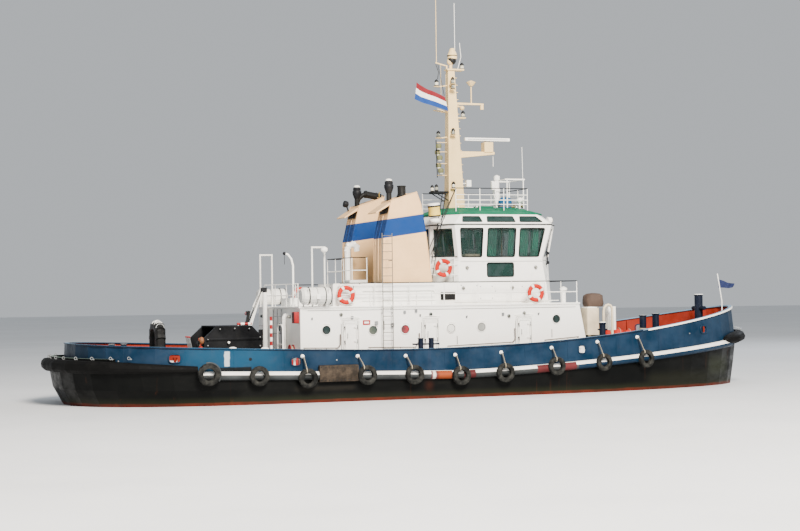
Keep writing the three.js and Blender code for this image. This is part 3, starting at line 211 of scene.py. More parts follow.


# On the bulwark: a paler stretch aft, a painted highlight where the turn of the stern meets the sun; a pale
# strip on a weld, also a painted highlight; and a dark grimy smear above the strake.
PLATING_HIGHLIGHTS_AND_GRIME = (
    ((-11.0, -6, 1.0), (-7.2, 6, 2.6), "163f59", 0.9),
    ((-9.36, -5, 1.5), (-9.16, -4, 2.05), "a9b4ba", 0.02),
    ((-9.6, -5, 1.28), (-8.3, -4, 1.46), "0c1114", 0.03),
)
PRIMER_PATCHES = (
    ((-0.75, -6, 0.6), (-0.15, -4, 2), "8a3a10", 0.1),
    ((-0.98, -6, 0.6), (-0.85, -4, 2), "d8cfc8", 0.03),
)
FUNNEL_BAND = ((6.735, 7.475, "003674"),)
MAT = {
    "hull": hull_material(),
    "white": paint("white_enamel", "fffdf8", 0.3, streaks=0.14, dirt=0.1, vary=0.01, bump=0.06),
    "blue": paint("blue_enamel", "052746", 0.32, streaks=0.12, vary=0.12, shine=0.15),
    "deep_blue": paint("deep_blue_enamel", "030f24", dirt=0.15, shine=0.15),
    "cream": paint("cream_enamel", "efd096", streaks=0.2, dirt=0.15, vary=0.04, bump=0.06, shine=0.3),
    "green": paint("green_enamel", "00694b", 0.5, dirt=0.1, shine=0.1),
    "deck": paint("deck_green", "4d5f56", 0.75, rust=0.25, dirt=0.5, vary=0.15, bump=0.5, scale=2.0),
    "orange": paint("inside_red", "8c2410", 0.5, streaks=0.2, rust=0.2, dirt=0.3, vary=0.12, shine=0.12),
    "red": paint("signal_red", "a8160f", 0.4, dirt=0.15, shine=0.3),
    "yellow": paint("yellow_canister", "e8c95a", 0.4, dirt=0.15),
    "black": paint("black_enamel", "08090a", 0.4, rust=0.1, dirt=0.2, vary=0.1, shine=0.25),
    "dark": paint("dark_gear", "101217", 0.5, rust=0.25, vary=0.12, shine=0.18),
    "canvas": paint("grey_canvas", "090b0f", 0.85, dirt=0.12, vary=0.15, bump=0.4, shine=0.1),
    "slope": paint("winch_cover_top", "2b2f36", 0.8, dirt=0.2, vary=0.12, bump=0.3, shine=0.15),
    "beige": paint("beige_canvas", "dccdb0", 0.85, vary=0.1, bump=0.3, shine=0.2),
    "steel": paint("worn_steel", "8b8e90", 0.4, metal=0.6, rust=0.3, dirt=0.4),
    "bronze": paint("dull_bronze", "9c8150", 0.4, metal=0.8, dirt=0.4),
    "bottom": paint("bottom_paint", "7d2f26", 0.7, dirt=0.45, vary=0.15, bump=0.3),
    "rope": paint("rope", "a79b84", 0.9, dirt=0.4, bump=0.6, scale=6.0),
    "chain": paint("galvanised", "b9bdbf", 0.4, metal=0.5, dirt=0.3),
    "plastic": paint("canister_shell", "e9e8e2", 0.3, dirt=0.2, vary=0.03, bump=0.03),
    "console": paint("console_grey", "1e2124", 0.55, dirt=0.2),
    "seat": paint("seat_red", "8a1414", 0.7, dirt=0.15, bump=0.3),
    "cap": paint("cap_rail_enamel", "6f8ba3", 0.4, streaks=0.2, dirt=0.3, shine=0.3),
    "plating": paint(
        "bulwark_enamel", "02243c", 0.32, streaks=0.06, dirt=0.16, vary=0.1, shine=0.12,
        patches=PLATING_HIGHLIGHTS_AND_GRIME,
    ),
    "funnel": paint(
        "funnel_enamel", "f0c48e", 0.4, streaks=0.1, dirt=0.12, vary=0.03, bump=0.05, shine=0.25,
        bands=FUNNEL_BAND, lean=0.14,
    ),
    "strake_top": paint("strake_white", "f4f2ec", streaks=0.1, dirt=0.3, vary=0.04),
    "strake_low": paint("strake_grey", "34383a", 0.5, rust=0.2, dirt=0.5, vary=0.15, shine=0.2),
    "primer": paint(
        "strake_primer", "52080e", 0.5, rust=0.15, dirt=0.3, vary=0.15, shine=0.3, patches=PRIMER_PATCHES,
    ),
    # The side ladder is a darker grey than its light paint: painted shade of its shaded side, with rust and
    # dirt over it.
    "ladder": paint("ladder_painted_shade", "6e6b66", 0.5, rust=0.15, dirt=0.3, shine=0.2),
    "pipe": paint("exhaust_black", "08090a", 0.5, rust=0.2, dirt=0.2, shine=0.25),
    "brown": paint("brown_post", "7a4a26", 0.5, dirt=0.2),
    "curtain": paint("curtain_cloth", "3d8f78", 0.85, dirt=0.05, vary=0.15, bump=0.3),
    "buoy": paint("lifebuoy_red", "b81a06", 0.5, dirt=0.08, vary=0.05, shine=0.15),
    "hose": paint("fire_red", "990c14", 0.4, dirt=0.12, shine=0.3),
    "tarp": paint("blue_tarpaulin", "0b4a74", 0.8, dirt=0.15, vary=0.15, bump=0.4, shine=0.2),
    "brown_cover": paint("brown_canvas", "4a382d", 0.85, vary=0.12, bump=0.4),
    "brass": paint("dull_brass", "a58a4e", metal=0.9, dirt=0.3),
    "olive": paint("lamp_housing", "6f7048", 0.45, dirt=0.3),
    "zinc": paint("anode_zinc", "a9adab", 0.7, metal=0.3, dirt=0.4, bump=0.4),
    "blind": paint("porthole_blind", "e6e6e0", 0.4, dirt=0.1),
    "blind_grey": paint("porthole_curtain", "8d8f8b", 0.6, dirt=0.2),
    "storm": paint("storm_rail", "5b4d44", 0.45, rust=0.25, dirt=0.3),
    "rubber": rubber("worn_rubber", "3a3a37", "0c0d0d"),
    "gasket": rubber("window_rubber", "191c1d", "0a0b0b"),
    "pad": rubber("fender_pad", "4a4036", "241f1a"),
    "fender": rubber("fender_rubber", "0c0c0c", "020202"),
    "lens": glass("lamp_lens", "f4f0dc", 0.85),
    "pane": glass("tinted_pane", "1c3a34", 0.34),
    "low_pane": glass("smoked_pane", "1c332f", 0.88),
    "dark_pane": glass("dark_pane", "141c1b"),
    "grey_pane": glass("deadlight_grey", "5a6156"),
    "red_pane": glass("curtained_pane", "a8303a"),
    "ensign": cloth("ensign_cloth", ((0, "003a84"), (0.34, "f4f2ee"), (0.67, "7c0618"))),
    "jack": cloth("jack_cloth", ((0, "10204e"),)),
}


# Shapes
def turns(count, first=0.0, step=None):
    """Cosine and sine of angles in degrees, spread round a full circle where no step is given."""
    angles = [math.radians(first + k * (360 / count if step is None else step)) for k in range(count)]
    return [(math.cos(t), math.sin(t)) for t in angles]


def spread(start, length, count):
    """Even places along a length, both ends included."""
    return [start + length * i / count for i in range(count + 1)]


def axes(along):
    """A direction and two more that stand square to it."""
    along = Vector(along).normalized()
    u = along.orthogonal().normalized()
    return along, u, along.cross(u)


def squared(c):
    """Pushes a circle's cosine or sine out towards a square with round corners."""
    return math.copysign(abs(c) ** 0.6, c)


def hoop_faces(rows, sides, closed):
    """Faces between rings of points, with a cap on both ends unless the last ring joins the first."""
    faces = []
    for i in range(rows if closed else rows - 1):
        a, b = i * sides, ((i + 1) % rows) * sides
        faces += [(a + k, a + (k + 1) % sides, b + (k + 1) % sides, b + k) for k in range(sides)]
    if not closed:
        faces += [tuple(range(sides - 1, -1, -1)), tuple(range((rows - 1) * sides, rows * sides))]
    return faces


def sheet_faces(rows, cols):
    steps = [r * (cols + 1) + c for r in range(rows) for c in range(cols)]
    return [(a, a + 1, a + cols + 2, a + cols + 1) for a in steps]


class Piece:
    """Gathers primitives into one named object that rides on one body."""

    def __init__(self, name, slot=None, body=HULL, replaces=(), smooth=40):
        self.name, self.slot, self.body, self.smooth = name, slot, body, smooth
        self.replaces = (replaces,) if isinstance(replaces, str) else replaces
        self.verts, self.faces, self.index, self.mats = [], [], [], []

    def add(self, verts, faces, mat):
        start = len(self.verts)
        if mat not in self.mats:
            self.mats.append(mat)
        self.verts.extend(tuple(v) for v in verts)
        self.faces.extend(tuple(start + i for i in f) for f in faces)
        self.index.extend([self.mats.index(mat)] * len(faces))
        return self

    def quad(self, verts, mat):
        return self.add(verts, [(0, 1, 2, 3)], mat)

    def soft_box(self, corner, far, mat, r=0.02, axis="z"):
        """A box between two corners. Its four edges along one axis are rounded."""
        order = {"x": (1, 2, 0), "y": (2, 0, 1), "z": (0, 1, 2)}[axis]
        (a0, a1), (b0, b1), (c0, c1) = (sorted((corner[i], far[i])) for i in order)
        rounded = ((a1 - r, b1 - r, 0), (a0 + r, b1 - r, 90), (a0 + r, b0 + r, 180), (a1 - r, b0 + r, 270))
        ring = [(x + r * c, y + r * s) for x, y, start in rounded for c, s in turns(4, start, 30)]
        place = [order.index(i) for i in range(3)]
        verts = [[(a, b, c)[i] for i in place] for c in (c0, c1) for a, b in ring]
        n = len(ring)
        faces = [(i, (i + 1) % n, n + (i + 1) % n, n + i) for i in range(n)]
        return self.add(verts, faces + [tuple(range(n - 1, -1, -1)), tuple(range(n, 2 * n))], mat)

    def tube(self, points, r, mat, sides=6, closed=False):
        """A round bar along points."""
        pts = [Vector(p) for p in points]
        n = len(pts)
        verts = []
        normal = None
        for i, p in enumerate(pts):
            before = pts[i - 1] if i or closed else pts[0]
            after = pts[(i + 1) % n] if i + 1 < n or closed else pts[-1]
            along = (after - before).normalized()
            if normal is None:
                normal = along.orthogonal().normalized()
            normal = (normal - along * normal.dot(along)).normalized()
            across = along.cross(normal)
            verts += [p + (normal * c + across * s) * r for c, s in turns(sides)]
        return self.add(verts, hoop_faces(n, sides, closed), mat)

    def lathe(self, profile, at, mat, sides=24, axis=UP, closed=False):
        """A profile of (radius, height) turned about an axis through a point."""
        axis, u, w = axes(axis)
        verts = []
        for radius, height in profile:
            verts += [Vector(at) + axis * height + (u * c + w * s) * radius for c, s in turns(sides)]
        return self.add(verts, hoop_faces(len(profile), sides, closed), mat)

    def ball(self, at, r, mat, sides=14, stretch=(1, 1, 1)):
        rings = max(5, sides // 2)
        profile = [(max(1e-4, r * s), -r * c) for c, s in turns(rings + 1, 0, 180 / rings)]
        start = len(self.verts)
        self.lathe(profile, (0, 0, 0), mat, sides)
        self.verts[start:] = [tuple(a + b * c for a, b, c in zip(at, v, stretch)) for v in self.verts[start:]]
        return self

    def torus(self, at, big, small, mat, axis=UP, sides=24, round_sides=6, stretch=1.0):
        ring = [(big + small * c, stretch * small * s) for c, s in turns(round_sides)]
        return self.lathe(ring, at, mat, sides, axis, closed=True)

    def loft(self, rows, mat, caps=True):
        """A skin over open rows of points, with flat ends where caps are wanted."""
        n, last = len(rows[0]), len(rows) - 1
        starts = [i * n + k for i in range(last) for k in range(n - 1)]
        faces = [(a, a + n, a + n + 1, a + 1) for a in starts]
        if caps:
            faces += [tuple(range(n)), tuple(range(last * n, last * n + n))]
        return self.add([p for row in rows for p in row], faces, mat)

    def done(self):
        mesh = bpy.data.meshes.new(self.name)
        mesh.from_pydata(self.verts, [], self.faces)
        for key in self.mats:
            mesh.materials.append(MAT[key])
        mesh.polygons.foreach_set("material_index", self.index)
        mesh.polygons.foreach_set("use_smooth", [True] * len(mesh.polygons))
        mesh.update()
        mesh.set_sharp_from_angle(angle=math.radians(self.smooth))
        obj = bpy.data.objects.new(self.name, mesh)
        bpy.context.scene.collection.objects.link(obj)
        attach(obj, self.body)
        if self.replaces:
            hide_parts(*self.replaces)
        return obj


# Lines of the hull, the same as the solids': stern, stem, half beam, length of run, roundness, length of entry
DECK = (-15.2, 15.4, 4.65, 6.2, 2.5, 14.35)
FOOT = (-14.6, 15.37, 4.63, 5.6, 2.5, 14.32)
HEAD = (-14.56, 15.2, 4.6, 5.56, 2.5, 14.0)
# Holes in the bulwark: x, z, half width, half height
FAIRLEADS = (
    (-11.23, 1.83, 0.21, 0.15), (-6.54, 1.6, 0.2, 0.15), (5.72, 1.78, 0.15, 0.15), (12.3, 2.45, 0.19, 0.15),
)


def half_at(x, plan):
    """Half of the beam at x."""
    stern, stem, half, run, rounding, entry = plan
    if x < stern + run:
        u = min(1.0, (stern + run - x) / run)
        return half * (1 - u**rounding) ** (1 / rounding)
    u = min(1.0, max(0.0, (x - stem + entry) / entry))
    return half * (1 - u**2.4) ** 0.55


def deck_z(x):
    return 1.1 + ((x / 15.3) ** 1.5 if x > 0 else 0.36 * (-x / 15) ** 1.2)


def rail_z(x):
    along = x + 2.3
    return 1.98 + (1.45 * (along / 17.3) ** 2.2 if along > 0 else 0.42 * (-along / 12.4) ** 1.3)


def outward(x, plan=DECK, side=-1):
    """The level direction that points away from the ship's side at x."""
    stern, _, half, run, rounding, _ = plan
    if x < stern + run:
        u = min(1.0, (stern + run - x) / run)
        v = (1 - u**rounding) ** (1 / rounding)
        return Vector((-(u ** (rounding - 1)) / run, side * v ** (rounding - 1) / half, 0)).normalized()
    slope = (half_at(x + 0.02, plan) - half_at(x - 0.02, plan)) / 0.04
    return Vector((-slope, side, 0)).normalized()


def side_point(x, z, out=0.0, side=-1, plan=DECK):
    return Vector((x, side * half_at(x, plan), z)) + outward(x, plan, side) * out


def bulwark_point(x, z, out=0.0, side=-1):
    """A point on the outer face of the bulwark, which leans from its foot to its head."""
    share = (z - deck_z(x)) / (rail_z(x) - deck_z(x))
    half = half_at(x, FOOT) * (1 - share) + half_at(x, HEAD) * share
    return Vector((x, side * half, z)) + outward(x, FOOT, side) * out


# CAD nodes, without their side: material, width of the rounded edges, names
LOOKS = (
    ("hull", 0.0, "hull"),
    ("bottom", 0.01, "skeg propeller_guard"),
    ("bronze", 0.006, "propeller"),
    ("plating", 0.0, "bulwark"),
    ("rubber", 0.01, "strake"),
    ("fender", 0.02, "stern_fender bow_fender"),
    ("white", 0.02, "deckhouse casing"),
    ("white", 0.01, "boat_deck wheelhouse_lower radar_scanner"),
    ("white", 0.008, "wheelhouse_windows wheelhouse_brow"),
    ("white", 0.006, "crane_post crane_boom wheelhouse_door door_aft door_mid door_fore"),
    ("white", 0.003, "jackstaff"),
    ("white", 0.0, "boat_deck_rail aft_deck_rail casing_rail roof_rail"),
    ("funnel", 0.02, "funnel"),
    ("pane", 0.0, "wheelhouse_glazing"),
    ("green", 0.02, "wheelhouse_roof"),
    ("console", 0.02, "helm"),
    ("cream", 0.006, "mast"),
    ("plastic", 0.008, "life_raft"),
    ("ladder", 0.0, "side_ladder"),
    ("dark", 0.0, "roof_ladder"),
    ("dark", 0.004, "crane_head"),
    ("dark", 0.008, "windlass_drum"),
    ("dark", 0.01, "winch_drum"),
    ("black", 0.006, "crane_jib"),
    ("black", 0.0, "towing_staple"),
    ("canvas", 0.015, "winch_frame"),
    ("beige", 0.03, "windlass_frame"),
    ("deep_blue", 0.008, "bow_bitt bollards_fore bollards_mid bollards_aft"),
    ("red", 0.0, "ensign"),
    ("blue", 0.0, "jack"),
)
LOOK_OF = {name: (look, width) for look, width, names in LOOKS for name in names.split()}


def bulwark_look(x, y, z, normal):
    """The cap on top, bare paint outside, and red inside."""
    if z > rail_z(x) - 0.045:
        return "cap" if normal.z > 0.5 or x > 9 else None
    facing = normal.dot(outward(x, FOOT, math.copysign(1, y)))
    in_hole = any(abs(x - a) < rx + 0.02 and abs(z - b) < rz + 0.02 for a, b, rx, rz in FAIRLEADS)
    return None if facing > 0.3 or (in_hole and facing > -0.3) else "orange"


def face_look(name, place, normal):
    """Another material for some faces of a node, by where they lie."""
    x, y, z = place
    if name == "bulwark":
        return bulwark_look(x, y, z, normal)
    level = normal.z > 0.9
    for names, found, look in (
        ("hull", level and z > 0.9, "deck"),
        ("casing deckhouse", level, "deck"),
        ("boat_deck_rail aft_deck_rail", z > 4.57 and x > -4.2, "dark"),
        ("casing_rail", z > 5.64, "dark"),
        ("roof_rail", z > 8.49, "dark"),
        ("bollards_fore bollards_mid bollards_aft", level and z > deck_z(x) + 0.5, "white"),
        ("bow_bitt", level and z > 3.9, "white"),
        ("funnel", z > 8.35 + (x + 0.75) * 0.324, "pipe" if z < 8.76 or x > -1.5 else "white"),
        ("towing_staple", z > 3.12, "white"),
        ("winch_frame", normal.z > 0.3, "slope"),
        ("life_raft", z < 3.86, "white"),
    ):
        if found and name in names.split():
            return look
    return None


def weld(obj, width, angle=30):
    """Joins the loose corners of an imported node, then rounds its edges."""
    obj.modifiers.new("weld", "WELD").merge_threshold = 0.00005
    if width:
        bevel = obj.modifiers.new("bevel", "BEVEL")
        bevel.width = width
        bevel.segments = 2
        bevel.limit_method = "ANGLE"
        bevel.angle_limit = math.radians(angle)
        bevel.harden_normals = False
    obj.modifiers.new("smooth", "EDGE_SPLIT").split_angle = math.radians(angle + 5)


for name, obj in NODES.items():
    name = name.removesuffix("_starboard").removesuffix("_port")
    look, width = LOOK_OF[name]
    mesh = obj.data
    mesh.materials.clear()
    mesh.materials.append(MAT[look])
    used = [None]
    for face in mesh.polygons:
        other = face_look(name, face.center, face.normal)
        if other not in used:
            used.append(other)
            mesh.materials.append(MAT[other])
        face.material_index = used.index(other)
    weld(obj, width)


# Strake: a rubbing bar along each side, white above and grey or blue below, with its tyres. The white covers
# the upward faces; the grey under it stands for grimy paint and painted shade together.
SECTION = (
    (0, -0.005), (0.11, -0.015), (0.195, -0.135), (0.205, -0.19), (0.19, -0.25), (0.11, -0.325), (0, -0.335),
)
STRAKE_OUT = 0.205
STRAKE_STEPS = 246
GREY_TO = 5.4
PRIMER_SPANS = ((-1.1, -0.12), (0.3, 0.86), (3.51, 4.19), (4.64, 5.38))
# x, z, radius
TYRES = (
    (-10.03, 1.21, 0.43), (-8.08, 1.10, 0.385), (-6.15, 0.96, 0.385), (-3.75, 1.02, 0.385),
    (-1.79, 0.98, 0.385), (0.19, 0.89, 0.385), (2.09, 0.95, 0.385), (4.38, 1.15, 0.375),
    (6.60, 1.24, 0.36), (8.70, 1.32, 0.375),
)
TYRE_HALF = 0.28  # half of a tyre's width, as a share of its radius
TYRE_SIDES = 60
# share of the radius, share of half the width, 1 on the tread
TYRE_ROWS = (
    (0.52, -0.5, 0), (0.55, -0.82, 0), (0.62, -0.97, 0), (0.66, -0.92, 0), (0.7, -1.0, 0), (0.84, -0.98, 0),
    (0.86, -0.9, 0), (0.93, -0.84, 0), (0.985, -0.66, 1), (1.0, -0.5, 1), (1.0, -0.2, 1), (0.965, -0.17, 0),
    (0.965, -0.08, 0), (1.0, -0.05, 1), (1.0, 0.25, 1), (0.965, 0.28, 0), (0.965, 0.36, 0), (1.0, 0.4, 1),
    (0.985, 0.66, 1), (0.93, 0.84, 0), (0.84, 0.98, 0), (0.7, 1.0, 0), (0.62, 0.97, 0), (0.55, 0.82, 0),
    (0.52, 0.5, 0), (0.9, 0.3, 0), (0.93, 0.0, 0), (0.9, -0.3, 0),
)
# Eye plates that the tyres' ropes hang from, from the third tyre on: x, z
EYES = (
    (-6.28, 1.80), (-4.04, 1.75), (-2.05, 1.71), (0.05, 1.70), (2.04, 1.75), (4.30, 1.88), (6.46, 2.07),
    (8.46, 2.22),
)
EYE = ((0.075, 0), (0.075, 0.015), (0.05, 0.03), (0.045, 0.06), (0.055, 0.075), (0.03, 0.1))


def strake(side, label):
    piece = Piece("strake_rail_" + label, "white_paint", replaces="strake_" + label, smooth=30)
    places = spread(-10.35, 24.59, STRAKE_STEPS)
    n = len(SECTION)
    verts = [side_point(x, deck_z(x) + down, out + 0.002, side) for x in places for out, down in SECTION]
    for i in range(STRAKE_STEPS):
        mid = (places[i] + places[i + 1]) / 2
        # Below its top the strake is blue forward and dark grey further aft; the grey is grimy paint and
        # painted shade under the bulge together.
        low = "strake_low" if mid < GREY_TO else "plating"
        primed = side < 0 and any(a < mid < b for a, b in PRIMER_SPANS)
        for k in range(n - 1):
            mat = "primer" if primed and k > 0 else "strake_top" if k < 2 else low
            a, b = i * n + k, (i + 1) * n + k
            face = (a, b, b + 1, a + 1) if side > 0 else (a, a + 1, b + 1, b)
            piece.quad([verts[j] for j in face], mat)
    ring = tuple(range(n))
    for at, face in ((0, ring[::-side]), (STRAKE_STEPS, ring[::side])):
        piece.add(verts[at * n : at * n + n], [face], "strake_top")
    piece.done().modifiers.new("join", "WELD").merge_threshold = 0.0005


def on_strake(x, z, r, side):
    """The middle of a tyre that lies against the strake."""
    return side_point(x, z, STRAKE_OUT + TYRE_HALF * r - 0.035, side)


def tyre(piece, at, axis, r):
    """A tyre with grooves in its tread, ribbed walls and an open middle."""
    axis, u, w = axes(axis)
    verts = []
    for share, level, tread in TYRE_ROWS:
        shift = 180 / TYRE_SIDES if level > 0 and tread else 0
        for k, (c, s) in enumerate(turns(TYRE_SIDES, shift)):
            groove = 0.972 if tread and k % 4 == 0 else 1
            verts.append(at + axis * (TYRE_HALF * r * level) + (u * c + w * s) * (r * share * groove))
    piece.add(verts, hoop_faces(len(TYRE_ROWS), TYRE_SIDES, True), "rubber")


def tyre_rope(piece, x, z, r, eye_x, eye_z, side):
    """A rope from its eye plate to the top of a tyre, with a thin one beside it and a loop through the tyre."""
    eye = bulwark_point(eye_x, eye_z, 0.0, side)
    n = outward(eye_x, FOOT, side)
    piece.lathe(EYE, eye, "white", 16, n)
    near = eye_x + 0.45 * (x - eye_x)
    low = side_point(near, z + 0.97 * r, STRAKE_OUT + 0.1 * r, side)
    start = eye + n * 0.06
    bend = start.lerp(low, 0.55) + n * 0.02
    piece.tube([start, bend, low, low - Vector((0, 0, 0.12 * r)) + n * 0.02], 0.024, "strake_low", 8)
    thin = ((start, 0.03), (bend, 0.025), (low, 0.03))
    piece.tube([p + Vector((dx, 0, 0)) for p, dx in thin], 0.014, "rope")
    loop = side_point(near, z + 0.74 * r, STRAKE_OUT + TYRE_HALF * r - 0.035, side)
    piece.torus(loop, 0.27 * r, 0.018, "rope", FORE)


for side, label in SIDES:
    strake(side, label)
    tyres = Piece("tyres_" + label, "rubber", smooth=35)
    for x, z, r in TYRES:
        tyre(tyres, on_strake(x, z, r, side), outward(x, DECK, side), r)
    tyres.done()
    ropes = Piece("tyre_ropes_" + label, "gear_steel")
    for row, eye in zip(TYRES[2:], EYES):
        tyre_rope(ropes, *row, *eye, side)
    x, z, r = TYRES[0]
    hub = side_point(x, z, STRAKE_OUT + 0.36 * r, side)
    n = outward(x, DECK, side)
    along = Vector((side * n.y, -side * n.x, 0)) * (1.04 * r)
    arc = [hub + along * c + Vector((0, 0, 1.04 * r * s)) for c, s in turns(15, -35, 10)]
    ropes.tube(arc, 0.03, "strake_low", 8)
    ropes.done()

# The bow fender's ends run out over the strake
END_RING = ((0.0, 0.26), (0.2, 0.25), (0.38, 0.16), (0.44, 0.02), (0.4, -0.12), (0.24, -0.22), (0.0, -0.23))
END_STEPS = 12
ends = Piece("bow_fender_ends", "rubber")
for side, _ in SIDES:
    rings = []
    for i, x in enumerate(spread(13.66, 0.66, END_STEPS)):
        full = 0.3 + 0.69 * (i / END_STEPS) ** 0.5
        rings.append([side_point(x, deck_z(x) + dz * full, out * full, side) for out, dz in END_RING])
    ends.loft(rings, "fender")
ends.done()

# Worn pad over the strake between two tyres, with its bolts
PAD_RING = ((0.05, 1.44), (0.2, 1.42), (0.235, 1.3), (0.25, 1.1), (0.235, 0.9), (0.2, 0.8), (0.05, 0.79))
for side, label in SIDES:
    pad = Piece("strake_pad_" + label, "rubber")
    pad.loft([[side_point(x, z, out, side) for out, z in PAD_RING] for x in spread(-5.67, 1.58, 10)], "pad")
    for x in spread(-5.6, 1.44, 9):
        for z in (1.36, 0.86):
            bolt = ((0.02, 0), (0.018, 0.01), (0.006, 0.014))
            pad.lathe(bolt, side_point(x, z, 0.222, side), "dark", 10, outward(x, DECK, side))
    pad.done()

# Bulwark: a rim round each fairlead, the white stripe of the fore cap, moulding, seams, studs and rollers
STRIPE = ((-0.01, -0.075), (0.04, -0.075), (0.052, -0.04), (0.04, -0.005), (-0.01, -0.005))
# Colours of the inner rims, fairlead by fairlead; the black of the second, at x −6.54, is painted shade inside
# that opening.
RIM_LOOKS = ("orange", "black", "white", "plating")
ROLLERS = ((-6.54, "white"), (5.72, "white"), (-11.23, "orange"), (12.3, "orange"))
ROLLER = ((0.09, 0), (0.05, 0.03), (0.045, 0.4), (0.09, 0.46), (0.09, 0.5), (0.02, 0.51))
SEAMS = (-9.0, -7.02, -4.9, -2.6, -0.4, 1.3, 3.1, 5.05, 7.4, 9.6)
SEAM_MARGIN = 0.06
for side, label in SIDES:
    rims = Piece("fairlead_rims_" + label, "blue_paint")
    for (x, z, rx, rz), mat in zip(FAIRLEADS, RIM_LOOKS):
        ring = [(x + (rx + 0.012) * squared(c), z + (rz + 0.012) * squared(s)) for c, s in turns(28)]
        for out, r, look in ((0.01, 0.026, "plating"), (-0.035, 0.018, mat), (-0.07, 0.026, mat)):
            rims.tube([bulwark_point(a, b, out, side) for a, b in ring], r, look, 8, closed=True)
    stripe = spread(9.05, 5.95, 60)
    rows = [[bulwark_point(x, rail_z(x) + dz, out, side) for out, dz in STRIPE] for x in stripe]
    rims.loft(rows, "white", False)
    moulding = spread(-14.3, 23.3, 120)
    rims.tube([bulwark_point(x, rail_z(x) - 0.05, 0.008, side) for x in moulding], 0.014, "deep_blue")
    for x in SEAMS:
        heights = spread(deck_z(x) + SEAM_MARGIN, rail_z(x) - deck_z(x) - 2 * SEAM_MARGIN, 6)
        rims.tube([bulwark_point(x, z, 0.001, side) for z in heights], 0.005, "plating", 5)
    for x, z, profile, look, sides in (
        (-8.35, 1.74, ((0.06, -0.004), (0.06, 0.01), (0.045, 0.012), (0.04, 0.002)), "black", 18),
        (-4.9, 1.62, ((0.035, 0), (0.03, 0.02), (0.01, 0.03)), "steel", 12),
        (11.4, 2.3, ((0.035, 0), (0.03, 0.02), (0.01, 0.03)), "steel", 12),
        (-13.2, 1.75, ((0.035, 0), (0.03, 0.02), (0.01, 0.03)), "steel", 12),
    ):
        rims.lathe(profile, bulwark_point(x, z, 0, side), look, sides, outward(x, FOOT, side))
    for x, look in ROLLERS:
        rims.lathe(ROLLER, side_point(x, deck_z(x), -0.24, side, FOOT), look, 18)
    rims.done()

# Inside of the bulwark: floats, lashings and a pipe under the cap
floats = Piece("foredeck_floats", "dark_paint")
for x, z, r in (
    (10.75, 2.32, 0.2), (11.15, 2.36, 0.22), (11.62, 2.36, 0.17), (8.95, 2.06, 0.18), (9.3, 2.05, 0.15),
):
    at = (x, half_at(x, FOOT) - 0.36 - r, z - 0.12)
    floats.ball(at, r, "buoy", 18, (1.15, 1, 0.9))
    floats.torus(at, r * 1.02, 0.014, "rope", FORE)
for start, end in ((-12.6, -9.0), (-7.8, -1.6), (2.4, 8.0)):
    for side, _ in SIDES:
        line = [side_point(x, rail_z(x) - 0.3, -0.16, side, FOOT) for x in spread(start, end - start, 16)]
        floats.tube(line, 0.02, "orange")
floats.done()

# Fenders: rings, bolts and chains
fixings = Piece("fender_fixings", "gear_steel")
stern, _, half, run, rounding, _ = DECK
for _, s in turns(13, -72, 12):
    y = 4.2 * s
    x = stern + run * (1 - (1 - abs(y / half) ** rounding) ** (1 / rounding))
    fixings.torus((x + 0.02, y, 1.87), 0.05, 0.014, "steel", PORT, 16)
    fixings.lathe(((0.04, -0.02), (0.04, 0.012), (0.02, 0.03)), (x + 0.1, y, 1.83), "steel", 12)
for y in (-1.6, -0.9, -0.3, 0.3, 0.9, 1.6):
    x = 15.4 - 0.72 * (abs(y) / 2.1) ** 2
    fixings.lathe(((0.035, -0.02), (0.035, 0.012), (0.015, 0.025)), (x - 0.05, y, 2.38), "steel", 12)
    fixings.tube([(x - 0.35, y, 2.5), (x - 0.12, y, 2.46), (x - 0.02, y, 2.385)], 0.012, "chain")
fixings.done()

# Under water: anodes, sea chest grilles, and the fixings of the propeller guard
hull_mesh = NODES["hull"].data
hull_corners = [v.co for v in hull_mesh.vertices]
HULL_SKIN = BVHTree.FromPolygons(hull_corners, [tuple(f.vertices) for f in hull_mesh.polygons])
ANODES = ((-11, -0.9), (-8, -1.2), (-5, -1.4), (-2, -1.5), (1, -1.5), (8, -1.2), (11, -0.7))
SEA_CHESTS = ((-0.6, -0.8), (2.2, -0.7))
BOX = ((0, 1, 3, 2), (4, 6, 7, 5), (0, 4, 5, 1), (2, 3, 7, 6), (0, 2, 6, 4), (1, 5, 7, 3))


def on_hull(x, z, side):
    """The spot on the hull's side at a place, and the directions along, up and outward there."""
    start, aim = Vector((x, side * 9, z)), Vector((x, 0, z))
    spot, n, _, _ = HULL_SKIN.ray_cast(start, (aim - start).normalized())
    if n.dot(aim - start) > 0:
        n = -n
    along = Vector(UP).cross(n).normalized()
    return spot, along, n.cross(along), n


below = Piece("hull_anodes", "propeller_metal")
grilles = Piece("sea_chests", "bottom_red")
for side, _ in SIDES:
    for x, z in ANODES:
        spot, *directions = on_hull(x, z, side)
        turn = Matrix(directions).transposed()
        for half, wide, high in ((0.3, 0.05, 0.015), (0.17, 0.075, 0.045)):
            corners = [(a, b, c) for a in (-half, half) for b in (-wide, wide) for c in (-0.01, high)]
            below.add([turn @ Vector(p) + spot for p in corners], BOX, "zinc")
    for x, z in SEA_CHESTS:
        spot, along, up, n = on_hull(x, z, side)
        square = ((-0.3, -0.3), (0.3, -0.3), (0.3, 0.3), (-0.3, 0.3))
        grilles.tube([spot + along * a + up * b + n * 0.01 for a, b in square], 0.02, "bottom", closed=True)
        for a in spread(-0.24, 0.48, 8):
            grilles.tube([spot + along * a + up * b + n * 0.012 for b in (-0.29, 0.29)], 0.009, "bottom")
    for x in (-13.2, -11.6, -10.0, -8.4, -6.8):
        y = side * 0.335
        below.soft_box((x - 0.18, y - 0.02, -3.1), (x + 0.18, y + 0.02, -3.0), "zinc", 0.01, "y")
below.done()
grilles.done()
guard = Piece("guard_fixings", "bottom_red")
